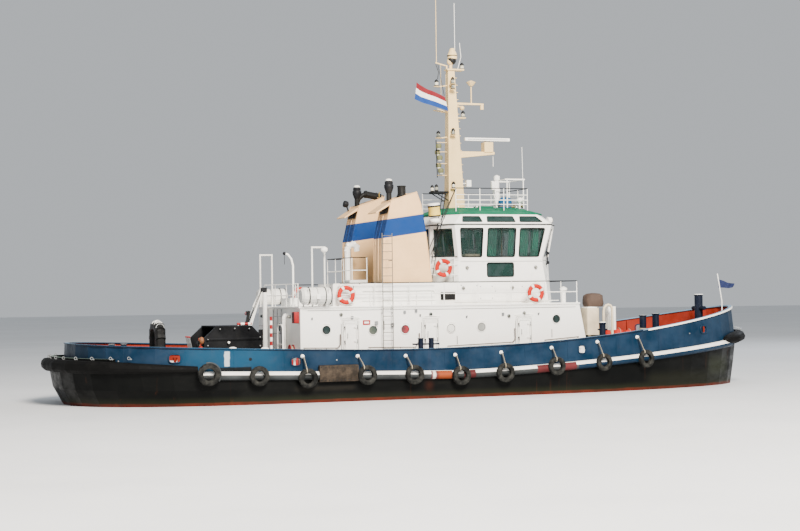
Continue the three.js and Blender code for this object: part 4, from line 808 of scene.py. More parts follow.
for side, _ in SIDES:
    for x in spread(3.3, 2.52, 7):
        guard.lathe(((0.04, -0.01), (0.04, 0.015), (0.02, 0.03)), (x, side * 2.6, -4.34), "bottom", 10)
guard.done()


# Deckhouse: portholes, doors' fittings, storm rails and small things on the walls
WALL = 3.1
PORTHOLES = (
    (-4.83, 2.76, "dark_pane"), (-2.87, 2.72, "grey_pane"), (-1.50, 2.73, "red_pane"), (0.49, 2.73, "blind"),
    (1.83, 2.76, "blind_grey"), (5.21, 3.03, "dark_pane"),
)
PORT_R = 0.18
# name, after edge, fore edge
DOORS = (("aft", -4.14, -3.48), ("mid", -0.72, -0.06), ("fore", 3.42, 4.08))
SILL, LINTEL = 1.49, 3.12
LEAF = 3.14
FITTINGS = (
    ("lamp", -4.21, 3.36), ("lamp", -0.39, 3.32), ("lamp", 3.75, 3.3), ("hook", -5.42, 3.21),
    ("box", -3.75, 3.24), ("box", -1.52, 3.42), ("box", -1.03, 3.46), ("hook", -0.85, 3.27),
    ("hook", 1.18, 3.18), ("box", 2.79, 3.27), ("lamp", 3.06, 3.19), ("hook", 4.4, 3.25),
)
STORM_RAILS = (
    ((-5.81, 2.07), (-4.41, 2.04), (-4.28, 2.16), (-4.27, 2.59)),
    ((-3.11, 2.03), (-1.10, 2.0), (-0.92, 2.28), (-0.92, 2.57)),
    ((0.29, 2.01), (3.17, 2.11), (3.30, 2.23), (3.29, 2.69)),
    ((4.62, 2.16), (6.2, 2.27)),
)


def porthole(piece, at, axis, look, r=PORT_R):
    """A rim with bolts, a rubber ring and the glass set into it, with a drip bar above."""
    rim = ((0.035, -0.005), (0.035, 0.012), (0.02, 0.028), (0, 0.03), (-0.012, 0.012), (-0.01, -0.005))
    ring = ((0, 0.008), (-0.004, 0.02), (-0.022, 0.02), (-0.026, 0.006))
    piece.lathe([(r + d, h) for d, h in rim], at, "white", 36, axis, closed=True)
    piece.lathe([(r + d, h) for d, h in ring], at, "gasket", 36, axis, closed=True)
    piece.lathe(((r - 0.015, 0.0), (r - 0.02, 0.009), (0.002, 0.012)), at, look, 36, axis)
    at, axis, up = Vector(at), Vector(axis).normalized(), Vector(UP)
    across = up.cross(axis).normalized()
    for c, s in turns(8, 22.5):
        spot = at + (across * c + up * s) * (r + 0.018)
        piece.lathe(((0.009, 0.015), (0.008, 0.034), (0.003, 0.037)), spot, "steel", 6, axis)
    drip = [at + axis * 0.02 + (across * c + up * s) * (r + 0.07) for c, s in turns(11, 30, 12)]
    piece.tube(drip, 0.01, "white")


def bulkhead_lamp(piece, at, axis):
    piece.lathe(((0.075, -0.005), (0.075, 0.02), (0.06, 0.03), (0.055, 0.055)), at, "steel", 16, axis)
    piece.lathe(((0.05, 0.03), (0.05, 0.08), (0.03, 0.11), (0.004, 0.12)), at, "lens", 16, axis)
    axis, up = Vector(axis).normalized(), Vector(UP)
    for shift in (up.cross(axis) * 0.06, up * 0.06):
        hoop = ((1, 0.03), (1, 0.09), (0.5, 0.13), (-0.5, 0.13), (-1, 0.09), (-1, 0.03))
        piece.tube([Vector(at) + shift * s + axis * d for s, d in hoop], 0.006, "dark", 5)


def off(side, points, wall=WALL):
    """Points given by x, their distance from a side's wall, and z."""
    return [(x, side * (wall + out), z) for x, out, z in points]


def plate(piece, side, x0, x1, z0, z1, depth, look, r=0.02, wall=WALL):
    """A plate or box that stands out from a side's wall."""
    piece.soft_box(*off(side, ((x0, 0, z0), (x1, depth, z1)), wall), look, r, "y")


def wall_fitting(piece, side, kind, x, z):
    if kind == "lamp":
        bulkhead_lamp(piece, (x, side * WALL, z), (0, side, 0))
    elif kind == "hook":
        plate(piece, side, x - 0.03, x + 0.03, z - 0.05, z + 0.05, 0.012, "steel", 0.01)
        hook = ((0, 0), (0.06, -0.01), (0.09, 0.02), (0.09, 0.06))
        piece.tube(off(side, [(x, d, z + dz) for d, dz in hook]), 0.01, "dark")
    else:
        plate(piece, side, x - 0.05, x + 0.05, z - 0.06, z + 0.06, 0.05, "steel", 0.015)
        piece.tube(off(side, ((x, 0.02, z + 0.05), (x, 0.02, 3.62))), 0.009, "white")


def storm_rail(piece, side, row):
    line = off(side, [(x, 0.09, z) for x, z in row])
    piece.tube(line, 0.021, "storm", 10)
    piece.tube([(x, y, z - 0.055) for x, y, z in line[:2]], 0.012, "white")
    for share in (0.04, 0.36, 0.68, 0.96):
        p = Vector(line[0]).lerp(Vector(line[1]), share)
        piece.tube([(p.x, side * WALL, p.z - 0.05), (p.x, p.y, p.z - 0.05), p], 0.011, "storm")
    x, y, z = line[-1]
    piece.tube([(x, side * WALL, z - 0.04), (x, y, z - 0.04)], 0.011, "storm")


def doorway(piece, side, x0, x1):
    """Frame, seal, rain bar and step of a doorway."""
    a0, a1, z0, z1 = x0 - 0.05, x1 + 0.03, SILL - 0.05, LINTEL + 0.05
    corners = ((a0, z0), (a1, z0), (a1, z1), (a0, z1))
    piece.tube(off(side, [(x, 0.005, z) for x, z in corners]), 0.018, "white", closed=True)
    piece.tube(off(side, [(x0 - 0.07, 0.01, z) for z in (SILL + 0.3, LINTEL - 0.12)]), 0.008, "gasket", 5)
    rain = ((x0 - 0.1, 0.01, LINTEL + 0.1), (x0 + 0.33, 0.05, LINTEL + 0.13), (x1 + 0.1, 0.01, LINTEL + 0.1))
    piece.tube(off(side, rain), 0.012, "white")
    step = off(side, ((x0, 0, SILL - 0.2), (x1, 0.16, SILL - 0.16)))
    piece.soft_box(*step, "steel", 0.02)


def door_fittings(side, label, name, x0, x1):
    """Seals, clips, hinges and handle, on the door's own body."""
    title = name + "_" + label
    fit = Piece("door_fittings_" + title, "white_paint", body="door_" + title + "_body")
    for inset, r, look, sides in ((0.03, 0.007, "gasket", 5), (0.1, 0.012, "white", 6)):
        a0, a1, z0, z1 = x0 + inset, x1 - inset, SILL + inset, LINTEL - inset
        corners = ((a0, z0), (a1, z0), (a1, z1), (a0, z1))
        fit.tube(off(side, [(x, 0, z) for x, z in corners], LEAF), r, look, sides, closed=True)
    for z in (SILL + 0.25, (SILL + LINTEL) / 2, LINTEL - 0.25):
        clip = off(side, ((x0 + 0.07, 0.03, z), (x0 + 0.08, 0.035, z - 0.13)), LEAF)
        hinge = off(side, ((x1 - 0.06, 0.012, z - 0.07), (x1 - 0.06, 0.012, z + 0.07)), LEAF)
        knob = ((0.028, 0), (0.024, 0.03), (0.01, 0.04))
        fit.lathe(knob, (x0 + 0.07, side * LEAF, z), "dark", 12, (0, side, 0))
        fit.tube(clip, 0.012, "dark")
        fit.tube(hinge, 0.018, "steel", 8)
        plate(fit, side, x1 - 0.2, x1 - 0.06, z - 0.03, z + 0.03, 0.014, "white", 0.01, LEAF)
    z = (SILL + LINTEL) / 2 + 0.12
    handle = ((0, 0), (0.05, 0), (0.05, 0.2), (0, 0.2))
    fit.tube(off(side, [(x0 + 0.18, d, z + dz) for d, dz in handle], LEAF), 0.01, "steel")
    fit.done()


for side, label in SIDES:
    ports = Piece("portholes_" + label, "white_paint")
    for x, z, look in PORTHOLES:
        porthole(ports, (x, side * WALL, z), (0, side, 0), look)
    ports.done()
    small = Piece("wall_fittings_" + label, "white_paint")
    for row in FITTINGS:
        wall_fitting(small, side, *row)
    for x, z in ((0.75, 2.25), (5.0, 2.44), (-2.4, 2.9)):
        small.tube(off(side, ((x, 0.015, z - 0.17), (x, 0.015, z + 0.17))), 0.012, "dark")
    for row in STORM_RAILS:
        storm_rail(small, side, row)
    small.tube(off(side, ((-5.86, 0.006, 3.6), (6.28, 0.006, 3.6))), 0.01, "white")
    wire = ((-5.6, 0.02, 3.54), (-0.9, 0.02, 3.54), (-0.2, 0.02, 3.52), (6.1, 0.02, 3.52))
    small.tube(off(side, wire), 0.008, "steel", 5)
    for wide, high, depth, look in (
        (0.17, 0.11, 0.008, "white"), (0.16, 0.1, 0.013, "hose"), (0.1, 0.035, 0.016, "white"),
    ):
        plate(small, side, -3.14 - wide, -3.14 + wide, 3.03 - high, 3.03 + high, depth, look, 0.01)
    for _, x0, x1 in DOORS:
        doorway(small, side, x0, x1)
    small.done()
    for row in DOORS:
        door_fittings(side, label, *row)

# Aft wall of the deckhouse: fire box, hose reel, striped post, hoop rail and stout pipe
AFT_X = -5.9
REEL = (AFT_X - 0.005, -2.1, 1.95)
STRIPED_POST = (-6.72, -1.75, 0)
aft = Piece("aft_wall_fittings", "white_paint")
aft.soft_box((AFT_X - 0.2, -2.95, 3.05), (AFT_X - 0.005, -2.6, 3.5), "hose", 0.03, "x")
aft.soft_box((AFT_X - 0.21, -2.92, 3.08), (AFT_X - 0.2, -2.63, 3.47), "primer", 0.02, "x")
reel = ((0.24, 0), (0.24, 0.03), (0.08, 0.03), (0.08, 0.14), (0.24, 0.14), (0.24, 0.17), (0.02, 0.18))
aft.lathe(reel, REEL, "hose", 24, (-1, 0, 0))
for k in range(4):
    aft.torus((AFT_X - 0.05 - 0.03 * k, *REEL[1:]), 0.17, 0.018, "rope", FORE, 28)
hoop = ((-2.15, 1.4), (-2.15, 2.85), (-2.05, 2.98), (-1.5, 2.98), (-1.4, 2.85), (-1.4, 1.4))
aft.tube([(-6.35, y, z) for y, z in hoop], 0.026, "white", 10)
aft.tube([(-6.35, -2.15, 2.2), (-6.35, -1.4, 2.2)], 0.02, "white", 8)
trunk = ((-6.02, -1.2, 1.35), (-6.02, -1.2, 3.28), (-5.98, -1.2, 3.34), (-5.9, -1.2, 3.36))
aft.tube(trunk, 0.085, "white", 16)
for k in range(5):
    aft.torus((-6.02, -1.2, 1.6 + 0.4 * k), 0.088, 0.012, "white")
for k in range(8):
    z = 2.0 + 0.165 * k
    aft.lathe(((0.055, z), (0.055, z + 0.165)), STRIPED_POST, "hose" if k % 2 else "white", 14)
aft.lathe(((0.12, deck_z(-6.7)), (0.12, 1.5), (0.06, 1.55), (0.05, 2.0)), STRIPED_POST, "hose", 16)
aft.soft_box((-6.2, -2.9, 1.3), (-5.95, -2.4, 1.75), "hose", 0.05, "x")
for y in (-0.5, 0.1, 0.7):
    aft.tube([(-5.93, y, 1.4), (-5.93, y, 3.6)], 0.02, "steel", 8)
for z in (1.9, 2.6, 3.3):
    aft.tube([(-5.94, -0.62, z), (-5.94, 0.82, z)], 0.012, "steel")
for y in (1.9, -0.2):
    porthole(aft, (AFT_X, y, 2.85), (-1, 0, 0), "dark_pane")
for y in (2.4, -1.75):
    bulkhead_lamp(aft, (AFT_X, y, 3.3), (-1, 0, 0))
aft.done()

# Fore wall: portholes, lamps, black pipes, a storm rail and a fire hydrant
SLOPE = (6.29 - 6.733) / (3.64 - 1.4)


def fore_x(z):
    return 6.733 + SLOPE * (z - 1.4)


fore = Piece("fore_wall_fittings", "white_paint")
lean = Vector((1, 0, -SLOPE)).normalized()
for y in (-2.0, -0.9, 0.9, 2.0):
    porthole(fore, (fore_x(2.75), y, 2.75), lean, "dark_pane")
for y in (-2.6, 0, 2.6):
    bulkhead_lamp(fore, (fore_x(3.3), y, 3.3), lean)
for side, _ in SIDES:
    fore.tube([(fore_x(z) + 0.02, side * 3.0, z) for z in (1.5, 2.1, 2.7)], 0.03, "black", 8)
fore.tube([(fore_x(2.3) + 0.09, y, 2.3) for y in (-2.7, -1, 1, 2.7)], 0.021, "storm", 8)
fore.lathe(((0.05, 1.3), (0.05, 1.75), (0.09, 1.78), (0.09, 1.84), (0.03, 1.9)), (7.05, -2.3, 0), "hose", 16)
fore.tube([(7.05, -2.3, 1.7), (7.2, -2.3, 1.7)], 0.04, "brass", 12)
fore.done()

# Lifebuoys with white tapes and a grab line
BUOY_SIDES, BUOY_ROUNDS = 40, 12
BUOY_R, BUOY_THICK = 0.29, 0.088


def lifebuoy(piece, at, axis):
    start = len(piece.index)
    piece.torus(at, BUOY_R, BUOY_THICK, "buoy", axis, BUOY_SIDES, BUOY_ROUNDS, 0.75)
    tape = "strake_top"
    if tape not in piece.mats:
        piece.mats.append(tape)
    for i in range(BUOY_ROUNDS):
        for k in range(BUOY_SIDES):
            if (k + 3) % 10 < 2:
                piece.index[start + i * BUOY_SIDES + k] = piece.mats.index(tape)
    _, u, w = axes(axis)
    far = BUOY_R + BUOY_THICK + 0.006
    line = [Vector(at) + (u * c + w * s) * (far + 0.03 * abs(2 * s * c)) for c, s in turns(32)]
    piece.tube(line, 0.008, "rope", closed=True)


buoys = Piece("lifebuoys", "white_paint")
for x, z in ((-4.01, 4.14), (4.26, 4.12)):
    for side, _ in SIDES:
        lifebuoy(buoys, (x, side * 3.18, z), (0, side, 0))
        for dz in (-0.2, 0.26):
            buoys.tube([(x - 0.16, side * 3.07, z + dz), (x + 0.16, side * 3.07, z + dz)], 0.012, "white")
for side, _ in SIDES:
    y = side * 2.42
    lifebuoy(buoys, (0.44, side * 2.5, 5.2), (0, side, 0))
    for z, r, look in ((4.92, 0.018, "white"), (5.34, 0.018, "white"), (5.66, 0.02, "dark")):
        buoys.tube([(-0.09, y, z), (1.11, y, z)], r, look, 8)
    for x in (-0.09, 0.95):
        buoys.tube([(x, y, 4.64), (x, y, 5.66)], 0.02, "white", 8)
buoys.done()

# Casing: louvre, pipes, panels, hatches and lamps on both sides
CASING_WALL = 2.5
# after edge, fore edge, foot, head, depth, look
PANELS = (
    (0.25, 0.96, 3.86, 4.23, 0.03, "white"), (0.28, 0.93, 3.88, 4.21, 0.034, "black"),
    (2.02, 2.62, 3.85, 4.5, 0.02, "white"), (2.68, 3.1, 4.0, 4.45, 0.025, "white"),
    (3.9, 4.5, 3.85, 4.5, 0.02, "white"),
)
KNOBS = (
    (2.06, 4.42), (2.58, 4.42), (2.06, 3.93), (2.58, 3.93), (2.72, 4.22), (3.94, 4.4), (4.46, 4.4),
    (1.2, 4.48), (1.9, 4.46),
)
casing = Piece("casing_fittings", "white_paint")
for side, _ in SIDES:
    y = side * CASING_WALL
    # The louvre's black plate behind its slats is painted shade in its openings.
    for row in PANELS[:2]:
        plate(casing, side, *row, wall=CASING_WALL)
    for k in range(5):
        z = 3.92 + 0.06 * k
        casing.tube(off(side, ((0.29, 0.036, z), (0.92, 0.036, z)), CASING_WALL), 0.009, "pipe")
    for row in PANELS[2:]:
        plate(casing, side, *row, wall=CASING_WALL)
    for x, z in KNOBS:
        knob = ((0.02, 0), (0.018, 0.03), (0.006, 0.035))
        casing.lathe(knob, (x, y + side * 0.015, z), "steel", 10, (0, side, 0))
    for x in (1.05, 1.62, 3.4, 4.95):
        casing.tube(off(side, ((x, 0.012, 3.75), (x, 0.012, 4.58)), CASING_WALL), 0.011, "white")
    casing.tube(off(side, ((0.9, 0.04, 3.8), (5.6, 0.04, 3.8)), CASING_WALL), 0.017, "white", 8)
    rail = ((-3.2, 2.9, 4.3), (-0.2, 2.9, 4.3), (-0.1, 2.88, 4.22), (-0.05, 2.7, 4.2))
    casing.tube(off(side, rail, 0), 0.022, "white", 8)
    casing.tube(off(side, ((-3.25, 2.89, 3.9), (0.0, 2.89, 3.9)), 0), 0.015, "white", 8)
    for x in (-2.9, -1.9, -0.9, -0.25):
        casing.tube(off(side, ((x, 2.85, 4.3), (x, 2.9, 4.3), (x, 2.9, 3.72)), 0), 0.013, "white")
    for x in (1.3, 3.5):
        bulkhead_lamp(casing, (x, y, 4.36), (0, side, 0))
casing.soft_box((-4.42, -2.83, 4.56), (-3.33, -2.27, 4.6), "white", 0.03)
for x in (-4.2, -3.6):
    casing.tube([(x, -2.84, 4.5), (x, -2.88, 4.5), (x, -2.88, 4.36)], 0.014, "steel")
casing.soft_box((-3.1, -0.9, 4.62), (-2.3, -0.1, 4.76), "white", 0.06)
vent = ((0.22, 4.62), (0.22, 5.0), (0.3, 5.02), (0.3, 5.1), (0.18, 5.2), (0.02, 5.22))
casing.lathe(vent, (-1.3, 0, 0), "white")
casing.done()

# Life rafts: bands, lashings, release gear, the ball on the hoop and a bent vent pipe
RAFT_Y, RAFT_Z = 3.23, 4.12
LASHING = (
    (2.95, 3.78), (2.88, 4.0), (2.92, 4.3), (3.1, 4.46), (3.3, 4.47), (3.5, 4.35), (3.57, 4.1), (3.5, 3.85),
)
rafts = Piece("raft_fittings", "raft_plastic")
for side, _ in SIDES:
    for x in (-5.62, -5.28, -4.95, -4.72):
        rafts.torus((x, side * RAFT_Y, RAFT_Z), 0.343, 0.012, "strake_low", FORE, 36, 6, 2.0)
    rafts.torus((-5.28, side * RAFT_Y, RAFT_Z), 0.346, 0.016, "plastic", FORE, 36)
    for x in (-5.6, -4.95):
        rafts.tube([(x, side * y, z) for y, z in LASHING], 0.013, "gasket")
    rafts.soft_box((-5.35, side * 3.56, 4.0), (-5.2, side * 3.6, 4.2), "white", 0.02, "y")
rafts.ball((-4.9, -3.18, 5.95), 0.13, "white", 16, (1.1, 1, 0.9))
vent = ((-5.82, 3.7), (-5.82, 5.35), (-5.89, 5.62), (-6.03, 5.8), (-6.17, 5.84))
rafts.tube([(x, -1.9, z) for x, z in vent], 0.045, "white", 12)
rafts.lathe(((0.09, 3.7), (0.09, 3.78), (0.05, 3.82)), (-5.82, -1.9, 0), "white", 14)
rafts.ball((-6.17, -1.9, 5.84), 0.07, "dark", 12)
rafts.tube([(-6.17, -1.9, 5.8), (-6.17, -1.9, 5.4)], 0.01, "dark")
rafts.done()

# Brackets of the side ladder
ladder = Piece("ladder_brackets", "white_paint")
for z in (1.9, 2.9, 3.6):
    for x in (-2.48, -2.1):
        ladder.tube([(x, -3.28, z), (x, -3.1, z)], 0.014, "white")
for x, z in ((-2.74, 3.0), (-2.06, 2.91)):
    ladder.soft_box((x - 0.06, -3.2, z - 0.08), (x + 0.06, -3.1, z + 0.08), "steel", 0.02, "y")
ladder.done()


# Funnels: openings under the visors, where a black sheet is painted shade, and seams, rungs and pipe heads
FUNNEL_Y, FUNNEL_HALF = 2.05, 0.6
FUNNEL_EDGE = (
    (-2.25, 4.66), (-2.21, 6.43), (-1.98, 7.4), (-1.86, 7.95), (-0.75, 8.31), (-0.58, 7.83), (-0.49, 7.36),
    (-0.38, 6.65), (-0.14, 4.66),
)
BAND_LEAN = 0.14
PIPE_HEAD = (
    (0.12, 0), (0.13, 0.02), (0.19, 0.2), (0.2, 0.3), (0.16, 0.36), (0.17, 0.38), (0.17, 0.45), (0.08, 0.52),
    (0.02, 0.53),
)


def seam(piece, y, z):
    """A welded seam across a funnel's side, level with the band."""
    aft_x = -2.25 + (z - 4.62) * 0.022 if z < 6.43 else -2.21 + (z - 6.43) * 0.237
    fore_end = -0.14 - (z - 4.62) * 0.1182 if z < 6.65 else -0.38 - (z - 6.65) * 0.155
    line = [(aft_x + 0.03, y, z + aft_x * BAND_LEAN), (fore_end - 0.03, y, z + fore_end * BAND_LEAN)]
    piece.tube(line, 0.005, "cream" if z < 6 else "funnel", 5)


for side, label in SIDES:
    top = Piece("funnel_fittings_" + label, "cream_paint")
    mid = side * FUNNEL_Y
    y0, y1 = mid - FUNNEL_HALF, mid + FUNNEL_HALF
    a, b = y0 + 0.1, y1 - 0.1
    # Black sheet in the opening under the visor: painted shade.
    top.quad([(-1.994, a, 7.43), (-1.994, b, 7.43), (-1.879, b, 7.85), (-1.879, a, 7.85)], "black")
    for x, z in zip(spread(-2.025, 0.11, 5), spread(7.45, 0.38, 5)):
        top.tube([(x, a, z), (x, b, z)], 0.012, "pipe")
    for y in (y0 - 0.004, y1 + 0.004):
        for z in (5.35, 6.6, 7.52):
            seam(top, y, z)
    for y in (y0, y1):
        top.tube([(x, y, z) for x, z in FUNNEL_EDGE], 0.018, "funnel")
    for y in (mid - 0.2, mid + 0.2):
        top.tube([(-2.33, y, 4.7), (-2.29, y, 6.4), (-2.06, y, 7.35)], 0.014, "funnel")
    for z in spread(4.95, 2.1, 7):
        x = -2.325 + (z - 4.7) * 0.023 if z < 6.4 else -2.29 + (z - 6.4) * 0.24
        top.tube([(x, mid - 0.2, z), (x, mid + 0.2, z)], 0.01, "funnel")
    top.lathe(PIPE_HEAD, (-1.74, mid, 8.3), "dark", 20)
    top.lathe(((0.13, 8.79), (0.14, 8.83), (0.08, 8.87), (0.02, 8.88)), (-1.74, mid, 0), "white", 20)
    whistle = ((-0.9, 8.24), (-0.9, 8.5), (-0.86, 8.56))
    top.tube([(x, side * 1.55, z) for x, z in whistle], 0.03, "brass", 10)
    top.done()
pipes = Piece("exhaust_fittings", "dark_paint")
pipes.lathe(((0.21, -0.04), (0.21, 0.03), (0.18, 0.04), (0.175, 0.1)), (-1.185, -2.05, 8.16), "pipe")
pipes.lathe(((0.185, 0.0), (0.185, 0.04), (0.15, 0.045), (0.14, 0.01)), (-1.19, -2.05, 8.55), "pipe")
for spot, axis in (((-0.62, 2.05, 8.31), (-0.9, 0, 0.4)), ((-1.35, 2.05, 8.49), (-1, 0, 0.18))):
    pipes.torus(spot, 0.155, 0.02, "pipe", axis, 28, 8)
pipes.tube([(-1.74, 2.05, 8.11), (-1.66, 2.05, 8.3), (-1.5, 2.05, 8.44), (-1.4, 2.05, 8.48)], 0.1, "pipe", 14)
pipes.tube([(-2.05, 2.3, 7.75), (-2.12, 2.3, 7.95), (-2.1, 2.3, 8.1)], 0.035, "dark", 8)
horn = ((0.05, 0), (0.13, 0.04), (0.15, 0.16), (0.13, 0.22), (0.02, 0.24))
pipes.lathe(horn, (-2.05, 2.3, 8.05), "dark", 18, (-1, 0, 0.2))
pipes.done()

# Wheelhouse: rounded gaskets round every pane, with white corner fillets, and the wipers
FOOT_Z, HEAD_Z = 5.65, 6.83
SKY_FOOT, SKY_HEAD = 7.09, 7.33
# Side and sky panes: after and fore edge at the foot, then at the head
SIDE_PANES = ((1.26, 2.16, 1.13, 2.16), (2.38, 3.64, 2.38, 3.64), (3.83, 4.74, 3.83, 4.96))
SKY = ((1.25, 2.15, 1.34, 2.09), (2.36, 3.64, 2.43, 3.59), (3.84, 4.88, 3.9, 4.64))
# Height on the window and distance from it: the arm's end, then both ends of the blade
WIPER = ((6.2, 0.035), (6.45, 0.025), (5.95, 0.02))
CABIN_X = 3
FILLET_STEPS = 5


def lean_y(z):
    return 2.45 + (z - 5.52) / 1.48 * 0.25


def lean_x(z):
    return 5.64 + (z - 5.52) / 1.48 * 0.32


def window(corners, r=0.07, lift=0.004, ring=0.02):
    """Two gaskets that follow four corners in order, rounded, and the fillets outside them."""
    pts = [Vector(c) for c in corners]
    n = (pts[1] - pts[0]).cross(pts[3] - pts[0]).normalized()
    centre = sum(pts, Vector()) / 4
    if n.dot(centre - Vector((CABIN_X, 0, centre.z))) < 0:
        n = -n
    path = []
    for i, p in enumerate(pts):
        before = (pts[i - 1] - p).normalized() * r
        after = (pts[(i + 1) % 4] - p).normalized() * r
        arc = [p + before * (1 - t) ** 2 + after * t**2 for t in spread(0, 1, FILLET_STEPS)]
        path += arc
        outer = [(0, k, k + 1) for k in range(1, FILLET_STEPS + 1)]
        frames.add([q + n * lift for q in [p, *arc]], outer, "white")
        frames.add([q - n * 0.061 for q in [p, *arc]], [(0, b, a) for _, a, b in outer], "white")
    frames.tube([q + n * lift for q in path], ring, "gasket", closed=True)
    frames.tube([q - n * 0.04 for q in path], ring * 0.8, "gasket", closed=True)


def wiper(top, blade):
    wipers.tube([top, blade[0]], 0.009, "dark", 5)
    wipers.tube(blade[1:], 0.011, "gasket", 5)


frames = Piece("window_gaskets", "window_glass")
wipers = Piece("window_wipers", "dark_paint")
for side, _ in SIDES:
    for a, b, c, d in SIDE_PANES:
        y0, y1 = side * lean_y(FOOT_Z), side * lean_y(HEAD_Z)
        window([(a, y0, FOOT_Z), (b, y0, FOOT_Z), (d, y1, HEAD_Z), (c, y1, HEAD_Z)])
        blade = [((a + b) / 2 + 0.1, side * (lean_y(z) + out), z) for z, out in WIPER]
        wiper(((c + d) / 2, y1 + side * 0.05, HEAD_Z + 0.03), blade)
    for a, b, c, d in SKY:
        y0, y1 = side * 2.627, side * 2.431
        corners = [(a, y0, SKY_FOOT), (b, y0, SKY_FOOT), (d, y1, SKY_HEAD), (c, y1, SKY_HEAD)]
        window(corners, 0.05, 0.006, 0.014)
    window([(x, side * 2.45, z) for x, z in ((2.4, 4.82), (3.6, 4.82), (3.6, 5.4), (2.4, 5.4))], 0.08)
    aft_pane = ((0.48, FOOT_Z), (1.32, FOOT_Z), (1.32, HEAD_Z), (0.48, HEAD_Z))
    window([(0.25, side * y, z) for y, z in aft_pane], 0.06)
for y0, y1 in ((-1.32, -0.48), (-0.39, 0.39), (0.48, 1.32)):
    x0, x1 = lean_x(FOOT_Z), lean_x(HEAD_Z)
    window([(x0, y0, FOOT_Z), (x0, y1, FOOT_Z), (x1, y1, HEAD_Z), (x1, y0, HEAD_Z)], 0.06)
    mid = (y0 + y1) / 2
    wiper((x1 + 0.05, mid, HEAD_Z + 0.03), [(lean_x(z) + out, mid + 0.12, z) for z, out in WIPER])
frames.done()
wipers.done()
panes = Piece("lower_and_sky_panes", "window_glass")
for side, _ in SIDES:
    corners = ((2.38, 4.8), (3.62, 4.8), (3.62, 5.42), (2.38, 5.42))
    panes.quad([(x, side * 2.415, z) for x, z in corners], "low_pane")
    for a, b, c, d in SKY:
        y0, y1 = side * 2.6, side * 2.404
        foot, head = SKY_FOOT - 0.01, SKY_HEAD + 0.01
        corners = [(a - 0.02, y0, foot), (b + 0.02, y0, foot), (d + 0.02, y1, head), (c - 0.02, y1, head)]
        panes.quad(corners, "low_pane")
panes.done()


# Mouldings, lamps and handrails of the wheelhouse, and its door
def all_round(half):
    """A row of (x, y) on one side, carried back along the other."""
    return half + [(x, -y) for x, y in reversed(half)]


trim = Piece("wheelhouse_trim", "white_paint")
eave = all_round([(0.25, 1.5), (0.87, 2.7), (5.25, 2.7), (5.96, 1.45)])
sill = all_round([(0.25, 1.45), (1.11, 2.45), (4.93, 2.45), (5.65, 1.45)])
trim.tube([(x, y, 6.985) for x, y in eave], 0.026, "strake_low", closed=True)
trim.tube([(x - 0.03, y * 0.995, 7.03) for x, y in eave], 0.02, "white", closed=True)
trim.tube([(x, y, 5.53) for x, y in sill], 0.016, "white", closed=True)
for side, _ in SIDES:
    trim.tube([(5.34, side * 1.95, 5.3), (5.38, side * 1.95, 5.5), (5.38, side * 1.93, 5.9)], 0.035, "dark", 8)
    for z in (5.4, 5.8):
        cup = ((0.03, 0), (0.06, 0.02), (0.065, 0.09), (0.02, 0.1))
        trim.lathe(cup, (5.36, side * 1.95, z), "dark", 14, (1, side, 0))
    trim.tube([(1.2, side * 2.49, 5.48), (4.9, side * 2.49, 5.48)], 0.013, "white")
    trim.tube([(5.1, side * 2.45, 4.75), (5.2, side * 2.35, 5.2)], 0.01, "steel")
    for x in (1.5, 4.6):
        bulkhead_lamp(trim, (x, side * 2.45, 5.2), (0, side, 0))
    light = (5.9, side * 0.9, 7.25)
    trim.lathe(((0.14, 0), (0.14, 0.16), (0.1, 0.2), (0.02, 0.2)), light, "white", 18, (1, 0, -0.1))
    trim.lathe(((0.12, 0.202), (0.002, 0.206)), light, "lens", 18, (1, 0, -0.1))
trim.done()
door = Piece("wheelhouse_door_fittings", "white_paint", body="wheelhouse_door_body")
pane = [(0.205, y, z) for y, z in ((-0.22, 5.7), (0.22, 5.7), (0.22, 6.3), (-0.22, 6.3))]
door.quad(pane, "dark_pane")
door.tube(pane, 0.014, "gasket", closed=True)
door.tube([(0.2, -0.28, 5.5), (0.17, -0.28, 5.5), (0.17, -0.16, 5.5)], 0.012, "steel")
for z in (4.95, 5.6, 6.2):
    door.tube([(0.2, 0.3, z - 0.05), (0.2, 0.3, z + 0.05)], 0.014, "steel")
door.done()

# Curtains in the wheelhouse windows
CURTAINS = (("fore_a", 3.9, 4.3), ("fore_b", 4.42, 4.75), ("mid_a", 2.42, 2.85), ("mid_b", 3.38, 3.62))


def curtain(name, x0, x1, side):
    """Cloth in even folds that flatten towards the head."""
    cols, rows = 72, 6
    waves = (x1 - x0) / 0.09
    verts = []
    for r, z in enumerate(spread(5.6, 1.28, rows)):
        y = side * (lean_y(z) - 0.16)
        for s in spread(0, 1, cols):
            fold = 0.022 * math.sin(2 * math.pi * waves * s) * (1 - 0.3 * r / rows)
            verts.append((x0 + (x1 - x0) * s, y + fold, z))
    obj = Piece(name, smooth=80).add(verts, sheet_faces(rows, cols), "curtain").done()


for side, label in SIDES:
    for name, x0, x1 in CURTAINS:
        curtain("curtain_" + name + "_" + label, x0, x1, side)

